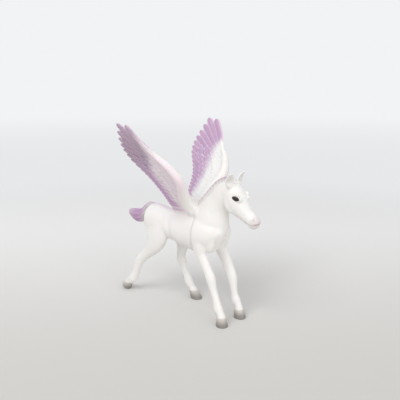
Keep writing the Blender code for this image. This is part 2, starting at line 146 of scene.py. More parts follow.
def linked(name, data):  # a new object in the scene
    made = bpy.data.objects.new(name, data)
    bpy.context.scene.collection.objects.link(made)
    return made


def evenFaces(form):  # no face of many corners, and all of them facing out
    bmesh.ops.triangulate(form, faces=[face for face in form.faces if len(face.verts) > 4])
    bmesh.ops.recalc_face_normals(form, faces=form.faces)


def meshObject(form, name):
    evenFaces(form)
    mesh = bpy.data.meshes.new(name)
    closeForm(form, mesh)
    mesh.shade_smooth()
    return linked(name, mesh)


def mirrored(form):  # the left half again on the right
    twins = bmesh.ops.duplicate(form, geom=form.verts[:] + form.edges[:] + form.faces[:])
    turned = [item for item in twins["geom"] if isinstance(item, bmesh.types.BMVert)]
    bmesh.ops.scale(form, vec=(1.0, -1.0, 1.0), verts=turned)


def evaluatedMesh(source):
    graph = bpy.context.evaluated_depsgraph_get()
    return bpy.data.meshes.new_from_object(source.evaluated_get(graph))


def fuse(source, name, grain, softening):  # one skin over all the forms of an object, then softened
    remesh = source.modifiers.new("skin", "REMESH")
    remesh.mode = "VOXEL"
    remesh.voxel_size = grain
    if softening:
        soften = source.modifiers.new("soften", "SMOOTH")
        soften.iterations = softening
    bpy.context.view_layer.update()
    mesh = evaluatedMesh(source)
    bpy.data.objects.remove(source)
    return linked(name, mesh)


def thinned(source, faces):  # the same skin with fewer faces, most where it bends
    count = sum(len(polygon.vertices) - 2 for polygon in source.data.polygons)
    thin = source.modifiers.new("thin", "DECIMATE")
    thin.ratio = min(1.0, faces / count)
    thin.use_collapse_triangulate = True
    bpy.context.view_layer.update()
    mesh = evaluatedMesh(source)
    source.modifiers.clear()
    source.data = mesh
    return source


def onSide(values, side):  # a vector as it is on the left, or mirrored on the right
    return Vector((values[0], side * values[1], values[2]))


def profileRings(rows, origin, length, width, steps=4):
    rings = []
    for topX, topZ, lowX, lowZ, half in smoothRows(rows, steps):
        top = origin + Vector((topX, 0.0, topZ)) * length
        low = origin + Vector((lowX, 0.0, lowZ)) * length
        rings.append(((top + low) / 2, Vector((0.0, half * width, 0.0)), (top - low) / 2))
    return rings


trunk = {
    "bellyHeight": 33.6 * mm,
    "length": 57.0 * mm,
    "depth": 22.5 * mm,
    "width": 18.6 * mm,
    "egg": -0.10,
    "withers": (0.66, 0.99),
    "rows": [  # along, top, bottom, half width
        (0.00, 0.64, 0.48, 0.12),
        (0.02, 0.76, 0.36, 0.28),
        (0.08, 0.86, 0.20, 0.42),
        (0.18, 0.86, 0.10, 0.47),
        (0.29, 0.81, 0.10, 0.455),
        (0.41, 0.80, 0.07, 0.465),
        (0.54, 0.86, -0.01, 0.50),
        (0.66, 0.98, -0.04, 0.50),
        (0.78, 1.00, -0.02, 0.48),
        (0.89, 0.88, 0.12, 0.42),
        (0.96, 0.74, 0.34, 0.31),
        (0.985, 0.60, 0.46, 0.16),
    ],
    "muscles": [  # along, up, out, then radii: haunch, breast, shoulder point
        (0.195, 0.43, 0.20, 0.185, 0.36, 0.285),
        (0.865, 0.27, 0.145, 0.045, 0.21, 0.135),
        (0.868, 0.373, 0.29, 0.075, 0.29, 0.135),
    ],
    "shoulderSpan": (0.715, 0.925),
    "shoulderRings": 12,
    "shoulderStep": 0.65 * mm,
    "shoulderHeight": 0.93,
}


def trunkPoint(along, up, out=0.0):
    x = (along - 0.5) * trunk["length"]
    return Vector((x, out * trunk["width"], trunk["bellyHeight"] + up * trunk["depth"]))


def addTrunk(form):
    rings = []
    for along, top, bottom, half in smoothRows(trunk["rows"]):
        high = trunkPoint(along, top)
        low = trunkPoint(along, bottom)
        rings.append(((high + low) / 2, Vector((0.0, half * trunk["width"], 0.0)), (high - low) / 2))
    loft(form, rings, 32, egg=trunk["egg"])
    for along, up, out, longRadius, highRadius, wideRadius in trunk["muscles"]:
        radii = (longRadius * trunk["length"], wideRadius * trunk["width"], highRadius * trunk["depth"])
        for side in (-1, 1):
            ellipsoid(form, trunkPoint(along, up, side * out), radii)


def addShoulders(form):
    rings = []
    start, end = trunk["shoulderSpan"]
    for step in range(trunk["shoulderRings"] + 1):
        along = start + (end - start) * step / trunk["shoulderRings"]
        top, bottom, half = readCurve(trunk["rows"], along)
        depth = Vector((0.0, 0.0, (top - bottom) / 2 * trunk["depth"] * trunk["shoulderHeight"]))
        across = Vector((0.0, half * trunk["width"] + trunk["shoulderStep"], 0.0))
        rings.append((trunkPoint(along, (top + bottom) / 2), across, depth))
    loft(form, rings, 32, egg=trunk["egg"])


neckAndHead = {
    "neckLength": 24.0 * mm,
    "neckWidth": 16.0 * mm,
    "headLength": 26.0 * mm,
    "headWidth": 10.6 * mm,
    "poll": (0.75, 0.67),
    "neckRows": [  # throat side, crest side, half width
        (0.76, -0.58, -0.17, -0.08, 0.48),
        (0.79, -0.29, 0.03, 0.08, 0.41),
        (0.79, -0.10, 0.23, 0.24, 0.32),
        (0.81, 0.04, 0.41, 0.42, 0.27),
        (0.94, 0.21, 0.56, 0.58, 0.26),
        (1.08, 0.37, 0.72, 0.68, 0.24),
    ],
    "headRows": [  # brow side, jaw side, half width
        (0.02, 0.01, -0.04, -0.38, 0.34),
        (0.17, 0.035, 0.06, -0.50, 0.45),
        (0.31, -0.055, 0.17, -0.58, 0.48),
        (0.405, -0.20, 0.30, -0.63, 0.44),
        (0.475, -0.34, 0.41, -0.675, 0.36),
        (0.565, -0.465, 0.51, -0.73, 0.29),
        (0.67, -0.54, 0.60, -0.785, 0.31),
        (0.73, -0.59, 0.675, -0.79, 0.28),
        (0.76, -0.64, 0.735, -0.745, 0.16),
    ],
    "swellings": [  # forward, up, out, then radii: jaw, brow, nostril
        (0.23, -0.36, 0.34, 0.165, 0.19, 0.16),
        (0.325, -0.215, 0.37, 0.110, 0.065, 0.085),
        (0.675, -0.62, 0.21, 0.060, 0.050, 0.09),
    ],
}
withers = trunkPoint(*trunk["withers"])
poll = withers + Vector((neckAndHead["poll"][0], 0.0, neckAndHead["poll"][1])) * neckAndHead["neckLength"]


def headPoint(forward, up, out):
    point = poll + Vector((forward, 0.0, up)) * neckAndHead["headLength"]
    point.y = out * neckAndHead["headWidth"]
    return point


def addNeckAndHead(form):
    sizes = neckAndHead
    loft(form, profileRings(sizes["neckRows"], withers, sizes["neckLength"], sizes["neckWidth"]), 32)
    loft(form, profileRings(sizes["headRows"], poll, sizes["headLength"], sizes["headWidth"]), 32)
    for forward, up, out, longRadius, highRadius, wideRadius in sizes["swellings"]:
        along, high = longRadius * sizes["headLength"], highRadius * sizes["headLength"]
        for side in (-1, 1):
            ellipsoid(form, headPoint(forward, up, side * out), (along, wideRadius * sizes["headWidth"], high))


ears = {
    "length": 6.4 * mm,
    "width": 5.6 * mm,
    "seat": (0.19, -0.03, 0.34),
    "rows": [  # height, half width, thickness, hollow
        (-0.25, 0.20, 0.16, 0.0),
        (0.00, 0.36, 0.26, 0.2),
        (0.30, 0.50, 0.33, 1.3),
        (0.60, 0.43, 0.28, 1.4),
        (0.85, 0.24, 0.18, 1.2),
        (1.00, 0.09, 0.09, 0.0),
    ],
    "lean": (0.33, 0.25, 0.91),
    "across": (-0.15, 0.98, 0.0),
}


def earAxes(side):  # foot, lean, across and front of one ear
    forward, up, out = ears["seat"]
    lean = onSide(ears["lean"], side).normalized()
    across = onSide(ears["across"], side)
    across = (across - lean * across.dot(lean)).normalized()
    return headPoint(forward, up, side * out), lean, across, across.cross(lean) * side


def addEars(form):
    for side in (-1, 1):
        foot, lean, across, front = earAxes(side)
        rings = []
        for along, half, thick, hollow in smoothRows(ears["rows"]):
            centre = foot + lean * (along * ears["length"])
            rings.append((centre, across * (half * ears["width"]), front * (thick * ears["width"]), hollow))
        loft(form, rings, 24)


legs = {
    "thickness": 5.0 * mm,
    "foreSeat": (0.755, 0.46, 0.33),
    "hindSeat": (0.20, 0.46, 0.33),
    "rightFore": {
        "side": -1,
        "hoof": (31.0 * mm, -6.8 * mm),
        "rows": [  # height, forward reach, depth, breadth
            (1.00, 1.00, 2.50, 1.00),
            (0.88, 0.93, 1.92, 1.24),
            (0.77, 0.86, 1.28, 1.04),
            (0.69, 0.74, 1.12, 0.94),
            (0.60, 0.59, 1.00, 0.90),
            (0.52, 0.47, 1.06, 0.98),
            (0.42, 0.39, 0.84, 0.80),
            (0.34, 0.30, 0.76, 0.74),
            (0.25, 0.21, 0.82, 0.78),
            (0.19, 0.165, 1.04, 0.90),
            (0.14, 0.08, 0.84, 0.82),
            (0.10, 0.04, 1.00, 0.96),
            (0.00, 0.00, 1.28, 1.20),
            (-0.05, -0.02, 1.32, 1.24),
        ],
    },
    "leftFore": {
        "side": 1,
        "hoof": (32.2 * mm, 6.4 * mm),
        "rows": [
            (1.00, 1.00, 2.50, 1.00),
            (0.88, 0.84, 1.92, 1.24),
            (0.76, 0.68, 1.36, 1.08),
            (0.66, 0.52, 1.20, 1.00),
            (0.55, 0.38, 1.08, 0.96),
            (0.47, 0.30, 1.06, 0.98),
            (0.35, 0.24, 0.80, 0.76),
            (0.26, 0.20, 0.76, 0.72),
            (0.20, 0.15, 1.00, 0.88),
            (0.15, 0.08, 0.84, 0.80),
            (0.10, 0.05, 1.00, 0.94),
            (0.00, 0.00, 1.28, 1.20),
            (-0.05, -0.02, 1.32, 1.24),
        ],
    },
    "leftHind": {
        "side": 1,
        "hoof": (0.0, 8.2 * mm),
        "rows": [
            (1.00, 1.00, 3.40, 1.00),
            (0.88, 0.76, 2.80, 1.32),
            (0.75, 0.56, 2.04, 1.20),
            (0.64, 0.55, 1.32, 1.04),
            (0.54, 0.62, 1.12, 0.94),
            (0.47, 0.61, 1.22, 0.94),
            (0.40, 0.52, 0.94, 0.82),
            (0.29, 0.41, 0.80, 0.78),
            (0.20, 0.31, 1.04, 0.90),
            (0.13, 0.19, 0.84, 0.82),
            (0.10, 0.13, 1.00, 0.94),
            (0.00, 0.00, 1.32, 1.20),
            (-0.05, -0.06, 1.36, 1.24),
        ],
    },
    "rightHind": {
        "side": -1,
        "hoof": (-39.2 * mm, -9.5 * mm),
        "rows": [
            (1.00, 1.00, 3.40, 1.00),
            (0.88, 1.07, 3.20, 1.36),
            (0.76, 1.03, 2.50, 1.32),
            (0.67, 0.91, 1.80, 1.20),
            (0.59, 0.76, 1.36, 1.04),
            (0.51, 0.58, 1.18, 0.96),
            (0.445, 0.46, 1.18, 0.94),
            (0.355, 0.39, 1.02, 0.86),
            (0.255, 0.315, 0.96, 0.82),
            (0.177, 0.225, 1.12, 0.92),
            (0.132, 0.13, 0.98, 0.86),
            (0.105, 0.06, 1.02, 0.96),
            (0.027, -0.05, 1.28, 1.18),
        ],
    },
}


def legStations(leg, seat):
    hoof = leg["hoof"]
    top = trunkPoint(seat[0], seat[1], leg["side"] * seat[2])
    stations = []
    for height, reach, depth, breadth in smoothRows(leg["rows"]):
        x = hoof[0] + (top.x - hoof[0]) * reach
        y = hoof[1] + (top.y - hoof[1]) * min(max(height, 0.0), 1.0)
        stations.append((Vector((x, y, top.z * height)), depth, breadth))
    return stations


def addLeg(form, leg, seat):
    stations = legStations(leg, seat)
    rings = []
    for index, (centre, depth, breadth) in enumerate(stations):
        below = stations[min(index + 1, len(stations) - 1)][0]
        above = stations[max(index - 1, 0)][0]
        down = (below - above).normalized()
        forward = leftward.cross(down).normalized()
        across = down.cross(forward)
        half = legs["thickness"] / 2
        rings.append((centre, across * (breadth * half), forward * (depth * half)))
    loft(form, rings, 28)


wing = {
    "length": 52.9 * mm,
    "chord": 25.0 * mm,
    "armThickness": 6.0 * mm,
    "sheetThickness": 1.4 * mm,
    "steps": 30,
    "seat": (0.66, 0.95, 0.43),
    "curve": [  # span, outward, upward
        (-0.15, -0.06, -0.13), (0.00, 0.00, 0.00), (0.19, 0.113, 0.151), (0.35, 0.208, 0.284),
        (0.49, 0.284, 0.397), (0.62, 0.359, 0.510), (0.83, 0.473, 0.681), (1.00, 0.548, 0.832),
    ],
    "leading": [
        (-0.15, 0.50), (0.00, 0.27), (0.06, 0.15), (0.12, 0.10), (0.20, 0.11), (0.35, 0.21),
        (0.45, 0.20), (0.575, 0.06), (0.67, -0.12), (0.76, -0.26), (0.87, -0.41), (1.00, -0.63),
    ],
    "trailing": [
        (-0.15, -0.56), (0.02, -0.64), (0.17, -0.63), (0.325, -0.69), (0.41, -0.76), (0.48, -0.84),
        (0.55, -0.94), (0.62, -1.02), (0.73, -1.05), (0.83, -1.01), (0.91, -0.95), (1.00, -0.87),
    ],
    "armRows": [  # span, half breadth, half height
        (-0.15, 1.10, 0.60), (0.00, 0.84, 0.58), (0.10, 0.62, 0.54), (0.20, 0.52, 0.50),
        (0.35, 0.45, 0.45), (0.55, 0.32, 0.32), (0.75, 0.18, 0.18), (0.92, 0.10, 0.10),
    ],
    "sheetRows": [(-0.15, 1.04), (0.0, 1.03), (0.12, 0.94), (0.3, 0.86), (0.6, 0.85), (0.8, 0.82), (0.93, 0.74)],
    "innerLilac": [  # span, then the share of the chord where the colour starts
        (-0.15, 0.80), (0.0, 0.78), (0.2, 0.70), (0.4, 0.60), (0.5, 0.51),
        (0.6, 0.38), (0.7, 0.20), (0.8, -0.1), (1.0, -0.5),
    ],
    "outerPale": [
        (-0.15, 0.36), (0.0, 0.33), (0.2, 0.14), (0.4, -0.03), (0.6, -0.08), (0.8, -0.10), (1.0, -0.15),
    ],
    "outerDeep": [
        (-0.15, 0.62), (0.0, 0.62), (0.2, 0.68), (0.4, 0.73), (0.5, 0.66),
        (0.58, 0.48), (0.7, 0.25), (1.0, 0.0),
    ],
    "paleShare": 0.50,
    "softness": {"innerLilac": 0.21, "outerPale": 0.09, "outerDeep": 0.16},
}


def wingPoint(span, chord):  # a place on the left wing's sheet
    out, up = readCurve(wing["curve"], span)
    seat = trunkPoint(wing["seat"][0], wing["seat"][1], wing["seat"][2] / 2)
    return seat + Vector((chord * wing["chord"], out * wing["length"], up * wing["length"]))


def wingNormal(span):
    rise = wingPoint(span + 0.01, 0.0) - wingPoint(span - 0.01, 0.0)
    return ahead.cross(rise).normalized()


def wingEdges(span):  # where the leading and the trailing edge lie, in chords
    return readCurve(wing["leading"], span)[0], readCurve(wing["trailing"], span)[0]


def wingSpans(rows):  # even steps over a table of the wing, with its values at each
    for step in range(wing["steps"] + 1):
        span = rows[0][0] + (rows[-1][0] - rows[0][0]) * step / wing["steps"]
        yield span, readCurve(rows, span)


def addWingArm(form):
    rings = []
    for span, halves in wingSpans(wing["armRows"]):
        broad, high = (half * wing["armThickness"] for half in halves)
        edge = wingEdges(span)[0] - broad / wing["chord"]
        rings.append((wingPoint(span, edge), ahead * broad, wingNormal(span) * high))
    loft(form, rings, 24)


def addWingSheet(form):
    rings = []
    for span, (share,) in wingSpans(wing["sheetRows"]):
        front, back = wingEdges(span)
        back = front + (back - front) * share
        across = ahead * ((front - back) / 2 * wing["chord"])
        depth = wingNormal(span) * (wing["sheetThickness"] / 2)
        rings.append((wingPoint(span, (front + back) / 2), across, depth))
    loft(form, rings, 24)


# carving on the finished skin

carving = {
    "creases": [  # seen from, radius, depth, fading, both sides, box x, y, z it stays in, line; all in mm
        ("side", 1.0, 0.36, 1.2, True, ((8, 16), (5, 20), (34, 60)),
         [(12.1, 56.0), (12.3, 50.0), (12.0, 43.0), (11.6, 37.0)]),
        ("front", 1.2, 0.72, 5.0, False, ((21, 40), (-9, 9), (34.5, 48)), [(0.0, 44.5), (0.0, 36.5)]),
        ("front", 1.1, 0.62, 5.0, True, ((20, 40), (1, 9), (34.5, 48)), [(4.6, 45.0), (5.0, 41.0), (4.4, 36.5)]),
        ("side", 1.5, 0.40, 1.2, True, ((-14, 4), (4, 20), (33, 54)),
         [(-7.6, 51.0), (-5.6, 46.0), (-4.0, 41.0), (-2.6, 36.5)]),
        ("side", 0.34, 0.38, 1.2, False, ((40, 50), (-9, 9), (50, 57)),
         [(40.8, 54.6), (42.8, 53.6), (45.0, 53.3), (47.5, 53.9)]),
        ("side", 1.0, -0.18, 1.2, True, ((36, 46), (1, 9), (55, 64)), [(38.9, 61.2), (41.0, 59.4), (43.0, 58.0)]),
        ("side", 0.9, 0.16, 1.2, True, ((28, 38), (3, 9), (56, 70)), [(31.2, 66.5), (32.0, 62.5), (34.4, 59.6)]),
        ("side", 0.30, 0.10, 1.2, False, ((20, 44), (-14, 14), (3, 8)), [(24.0, 5.3), (42.0, 5.3)]),
        ("side", 0.30, 0.10, 1.2, False, ((-10, 10), (-14, 14), (3, 8)), [(-8.0, 5.1), (8.0, 5.5)]),
    ],
    "pits": [  # centre in mm, radius, depth
        ((45.6, 2.4, 56.6), 0.62, 0.80),
        ((44.9, 2.7, 56.0), 0.42, 0.35),
    ],
}


def pointArray(mesh, kind="co"):
    source = mesh.vertices if kind == "co" else mesh.vertex_normals
    values = np.empty(len(mesh.vertices) * 3)
    source.foreach_get(kind, values)
    return values.reshape(-1, 3)


def placePoints(mesh, places):
    mesh.vertices.foreach_set("co", places.ravel())
    mesh.update()


def blendStep(low, high, values):
    t = np.clip((values - low) / (high - low), 0.0, 1.0)
    return t * t * (3 - 2 * t)


def distanceToLine(points, line):  # shortest distance from flat points to a line of straight runs
    best = np.full(len(points), np.inf)
    for start, end in zip(line, line[1:]):
        start, end = np.array(start), np.array(end)
        run = end - start
        share = np.clip((points - start) @ run / (run @ run), 0.0, 1.0)
        gap = np.linalg.norm(points - start - share[:, None] * run, axis=1)
        best = np.minimum(best, gap)
    return best


def carve(mesh):
    places = pointArray(mesh)
    normals = pointArray(mesh, "vector")
    views = {"side": (0, 2), "front": (1, 2)}
    spots = places / mm
    folded = np.column_stack([spots[:, 0], np.abs(spots[:, 1]), spots[:, 2]])  # both sides as the left one
    cut = np.zeros(len(places))
    for view, radius, depth, fading, bothSides, box, line in carving["creases"]:
        seen = folded if bothSides else spots
        kept = np.ones(len(seen))
        for axis, (low, high) in enumerate(box):
            kept *= blendStep(low, low + fading, seen[:, axis])
            kept *= blendStep(high, high - fading, seen[:, axis])
        inside = kept > 0
        gap = distanceToLine(seen[inside][:, views[view]], line)
        cut[inside] += depth * mm * np.exp(-((gap / radius) ** 2)) * kept[inside]
    for centre, radius, depth in carving["pits"]:
        gap = np.linalg.norm(folded - np.array(centre), axis=1)
        cut += depth * mm * np.exp(-((gap / radius) ** 2))
    placePoints(mesh, places - normals * cut[:, None])


def flattenSoles(mesh, snap=0.04 * mm):  # level with the ground and closed
    form = openForm(mesh)
    geometry = form.verts[:] + form.edges[:] + form.faces[:]
    bmesh.ops.bisect_plane(form, geom=geometry, dist=snap, plane_co=(0.0, 0.0, 0.0),
                           plane_no=(0.0, 0.0, -1.0), clear_outer=True)
    for vert in form.verts:
        if vert.co.z <= snap:
            vert.co.z = 0.0
    rim = [edge for edge in form.edges if edge.is_boundary]
    bmesh.ops.holes_fill(form, edges=rim, sides=0)
    evenFaces(form)
    closeForm(form, mesh)


eyes = {
    "centre": (36.4 * mm, 4.9 * mm, 65.5 * mm),
    "facing": (0.22, 0.96, 0.12),
    "halfLength": 2.35 * mm,
    "halfHeight": 1.30 * mm,
    "tilt": math.radians(14),
    "halfDepth": 0.60 * mm,
    "bulge": 0.28 * mm,
    "headRadius": 14.0 * mm,
    "socketDepth": 0.12 * mm,
    "bedReach": (1.35, 0.95),
    "bedRoom": 3.0 * mm,
    "pinch": 0.40,
    "rings": 20,
    "sides": 36,
}


def eyeAxes(side):  # middle, then forward, upward and outward directions of one eye
    middle = onSide(eyes["centre"], side)
    out = onSide(eyes["facing"], side).normalized()
    forward = (ahead - out * ahead.dot(out)).normalized()
    up = forward.cross(out) * -side
    turn = Matrix.Rotation(eyes["tilt"] * side, 3, out)
    return middle, turn @ forward, turn @ up, out


def seatOfEye(tree, side):  # the skin's point under the eye, then the eye's axes
    middle, forward, up, out = eyeAxes(side)
    hit = tree.ray_cast(middle + out * 10 * mm, out * -1.0)[0] or tree.find_nearest(middle)[0]
    return hit, forward, up, out


def skinTree(mesh):
    form = openForm(mesh)
    tree = BVHTree.FromBMesh(form)
    form.free()
    return tree


def sinkSockets(mesh):  # a shallow even bed under each eye, with the brow left as its lid
    places = pointArray(mesh)
    tree = skinTree(mesh)
    for side in (-1, 1):
        seat, forward, up, out = (np.array(part) for part in seatOfEye(tree, side))
        local = places - seat
        along, rise, high = local @ forward, local @ up, local @ out
        reach = np.hypot(along / eyes["halfLength"], rise / eyes["halfHeight"])
        bed = -eyes["socketDepth"] - along ** 2 / (2 * eyes["headRadius"])
        weight = blendStep(*eyes["bedReach"], reach) * (high > -eyes["bedRoom"])
        places += ((bed - high) * weight)[:, None] * out
    placePoints(mesh, places)


skin = {
    "bodyGrain": 0.38 * mm,
    "bodySoftening": 17,
    "fineGrain": 0.30 * mm,
    "fineSoftening": 2,
    "faces": 150000,
    "fillets": [  # rounds of softening between two corners in mm: wings' feet, ears' feet
        (16, (-9.7, -11.2, 50.3), (20.5, 11.2, 58.4)),
        (6, (27.4, -6.3, 68.5), (36.3, 6.3, 72.5)),
    ],
}


def softenFeet(mesh):  # fillets where the wings and ears grow out of the body
    form = openForm(mesh)
    for rounds, low, high in skin["fillets"]:
        verts = [vert for vert in form.verts if all(a < b / mm < c for a, b, c in zip(low, vert.co, high))]
        for _ in range(rounds):
            bmesh.ops.smooth_vert(form, verts=verts, factor=0.5, use_axis_x=True, use_axis_y=True, use_axis_z=True)
    closeForm(form, mesh)


def buildSkin():
    form = newForm()
    addTrunk(form)
    addShoulders(form)
    addNeckAndHead(form)
    for name, seat in (("rightFore", "foreSeat"), ("leftFore", "foreSeat"),
                       ("rightHind", "hindSeat"), ("leftHind", "hindSeat")):
        addLeg(form, legs[name], legs[seat])
    body = fuse(meshObject(form, "bodyForms"), "bodySkin", skin["bodyGrain"], skin["bodySoftening"])
    form = newForm()
    addWingArm(form)
    addWingSheet(form)
    mirrored(form)
    addEars(form)
    fine = fuse(meshObject(form, "fineForms"), "fineSkin", skin["fineGrain"], skin["fineSoftening"])
    form = openForm(body.data, fine.data)
    for item in (body, fine):
        bpy.data.objects.remove(item)
    whole = fuse(meshObject(form, "joined"), "foalBody", skin["fineGrain"], skin["fineSoftening"])
    softenFeet(whole.data)
    carve(whole.data)
    sinkSockets(whole.data)
    flattenSoles(whole.data)
    thinned(whole, skin["faces"])
    whole.data.shade_smooth()
    return whole


feathers = {
    "inset": 3.0 * mm,
    "firstGap": 0.078,
    "lastGap": 0.040,
    "gapShrink": 0.94,
    "sweep": 0.53,
    "first": ((0.60, -0.10), (0.99, -0.64)),
    "firstHalf": 0.46,
    "firstTone": 0.5,
    "half": 0.50,
    "long": {"steps": 26, "sides": 24, "crowding": 1.6, "tilt": math.radians(9), "thickness": 1.8 * mm,
             "thinness": 0.35, "shaft": 0.28, "hollow": 0.16},
    "covert": {"steps": 10, "sides": 12, "crowding": 1.5, "tilt": math.radians(4.5), "thickness": 0.50 * mm,
               "thinness": 1.0, "shaft": 0.0, "hollow": 0.0},
    "shaftWidth": 0.13,
    "blade": [(0.0, 0.55), (0.3, 0.85), (0.6, 1.05), (0.8, 1.05), (0.93, 0.92), (0.985, 0.6), (1.0, 0.3)],
    "covertRows": [  # reach of the tips from the leading edge, pitch in spans, length, half width and lift in mm
        (0.76, 0.050, 6.0, 1.60, 0.98),
        (0.57, 0.046, 5.2, 1.45, 0.92),
        (0.40, 0.043, 4.2, 1.30, 0.84),
    ],
    "covertSpan": (0.14, 0.66),
    "covertLean": 0.085 / 6.0,  # spans for each mm of length
    "covertSlant": 0.86,
    "covertRootLift": 0.30,
    "tones": [0.15, 0.7, 0.4, 0.85, 0.3, 0.6, 0.1, 0.5, 0.9],
}


def fade(start, soft, share):  # 0 before the start of the colour and 1 behind it
    return blendStep(start - soft, start + soft, share)


def wingColour(share, starts):  # how much colour the inner and the outer face carry at a share of the chord
    inside, pale, deep = (fade(starts[name], soft, share) for name, soft in wing["softness"].items())
    return inside, pale * wing["paleShare"] + deep * (1.0 - wing["paleShare"])


def wingLilac(span, chord):
    front, back = wingEdges(span)
    starts = {name: readCurve(wing[name], span)[0] for name in wing["softness"]}
    return wingColour((front - chord) / (front - back), starts)


def addFeather(form, root, tip, halfWidth, tone, kind="long", face=0, lift=0.0):
    # a rounded blade; a covert lies on one face of the wing, -1 for the outer and 1 for the inner
    style = feathers[kind]
    rings = []
    paint = []
    reach = wingPoint(*tip) - wingPoint(*root)
    for step in range(style["steps"] + 1):
        t = 1.0 - (1.0 - step / style["steps"]) ** style["crowding"]
        place = [start + (end - start) * t for start, end in zip(root, tip)]
        normal = wingNormal(place[0])
        run = reach - normal * reach.dot(normal)
        turn = Matrix.Rotation(style["tilt"], 3, run)
        across = turn @ normal.cross(run).normalized()
        swell = readCurve(feathers["blade"], t)[0]
        thickness = min(1.0, style["thinness"] + swell * (1.0 - style["thinness"])) * style["thickness"]
        rise = face * lift * (feathers["covertRootLift"] + (1.0 - feathers["covertRootLift"]) * t)
        centre = wingPoint(*place) + normal * rise
        rings.append((centre, across * (halfWidth * swell), (turn @ normal) * (thickness / 2)))
        paint.append((t, wingLilac(*place), t * reach.length / mm, halfWidth * swell / mm))

    def shaft(number, sideways, height, across, depth):
        ridge = math.exp(-(sideways / feathers["shaftWidth"]) ** 2) * style["shaft"]
        hollow = style["hollow"] * (1.0 - sideways * sideways)
        return depth * ((ridge - hollow) * (1.0 if height > 0 else -1.0) * min(1.0, (1.0 - paint[number][0]) * 4))

    def marks(number, sideways, height):
        t, lilac, along, half = paint[number]
        outer = int((face or height) < 0)
        return {"along": along, "across": sideways * half, "rim": abs(sideways), "tone": tone,
                "lilac": lilac[outer], "outer": outer}

    loft(form, rings, style["sides"], shape=shaft, marks=marks)


def addCoverts(form, reach, pitch, length, half, lift, count):  # one row on both faces; returns the count
    lowest, span = feathers["covertSpan"]
    while span > lowest:
        front, back = wingEdges(span)
        tip = (span, front + (back - front) * reach)
        back = length * mm * feathers["covertSlant"] / wing["chord"]
        root = (span - feathers["covertLean"] * length, tip[1] + back)
        tone = feathers["tones"][count % len(feathers["tones"])]
        for face in (-1, 1):
            addFeather(form, root, tip, half * mm, tone, "covert", face, lift * mm)
        span -= pitch
        count += 1
    return count


def buildFeathers():
    form = newForm("along", "across", "rim", "lilac", "tone", "outer")
    tones = feathers["tones"]
    inset = feathers["inset"] / wing["chord"]
    span = 1.0
    gap = feathers["firstGap"]
    addFeather(form, *feathers["first"], gap * wing["length"] * feathers["firstHalf"], feathers["firstTone"])
    count = 0
    while span > 0.0:
        foot = span * feathers["sweep"]
        halfWidth = gap * wing["length"] * feathers["half"]
        tone = tones[count % len(tones)]
        addFeather(form, (foot, wingEdges(foot)[0] - inset), (span, wingEdges(span)[1]), halfWidth, tone)
        span -= gap
        gap = max(feathers["lastGap"], gap * feathers["gapShrink"])
        count += 1
    for row in feathers["covertRows"]:
        count = addCoverts(form, *row, count)
    mirrored(form)
    return meshObject(form, "wingFeathers")


foalBody = buildSkin()
print("skin built:", len(foalBody.data.polygons), "faces")
wingFeathers = buildFeathers()
print("feathers built:", len(wingFeathers.data.polygons), "faces")

hair = {
    "grooveLevel": 0.75,  # locks rise above this share of a wave and groove below it
    "strandSpread": 0.9,
}


def hairPiece(name, rings, style, wave, swell, colour):  # a closed form with locks along the crests of a wave
    last = len(rings) - 1

    def locks(number, sideways, height, across, depth):
        turn = wave(number / last, sideways, height)
        rise = abs(math.sin(turn / 2)) - hair["grooveLevel"]
        return (across * sideways + depth * height) * swell(number / last, turn, rise * style["lockDepth"])

    def marks(number, sideways, height):
        turn = wave(number / last, sideways, height)
        lilac, tone = colour(number / last, height)
        return {"along": number / last * style["paintLength"], "across": turn * hair["strandSpread"],
                "rim": 1.0 - abs(math.sin(turn / 2)), "lilac": lilac, "tone": tone}

    form = newForm("along", "across", "rim", "lilac", "tone")
    loft(form, rings, style["sides"], shape=locks, marks=marks)
    return meshObject(form, name)


tail = {
    "length": 19.5 * mm,
    "width": 5.0 * mm,
    "seat": (0.03, 0.86),
    "sides": 90,
    "paintLength": 20.0,
    "rows": [  # upper side, lower side, half width
        (0.23, 0.00, 0.18, -0.30, 0.50),
        (-0.05, 0.01, -0.03, -0.28, 0.48),
        (-0.23, -0.09, -0.15, -0.43, 0.44),
        (-0.40, -0.24, -0.33, -0.62, 0.46),
        (-0.58, -0.30, -0.56, -0.70, 0.50),
        (-0.78, -0.32, -0.78, -0.65, 0.44),
        (-0.94, -0.35, -0.94, -0.55, 0.30),
        (-1.01, -0.41, -1.01, -0.46, 0.12),
    ],
    "locks": 9,
    "lockDepth": 0.13,
    "waviness": 2.2,
    "waves": 5.0,
    "spiral": 4.0,
    "growth": 3.0,
    "mauveEnd": (0.70, 0.12),
}


def buildTail():
    def wave(share, sideways, height):
        sway = math.sin(share * tail["waves"]) * tail["waviness"] + share * tail["spiral"]
        return math.atan2(height, sideways) * tail["locks"] + sway

    def swell(share, turn, rise):  # smooth at the root
        return rise * min(share * tail["growth"], 1.0)

    def colour(share, height):  # mauve at the root and over the end, lilac between
        end = (0.4 + 0.4 * height) * fade(*tail["mauveEnd"], share)
        root = 1.0 - fade(0.40 - 0.10 * height, 0.10, share)
        return fade(0.06 - 0.05 * height, 0.06, share), max(end, root)

    rings = profileRings(tail["rows"], trunkPoint(*tail["seat"]), tail["length"], tail["width"], 8)
    return hairPiece("foalTail", rings, tail, wave, swell, colour)


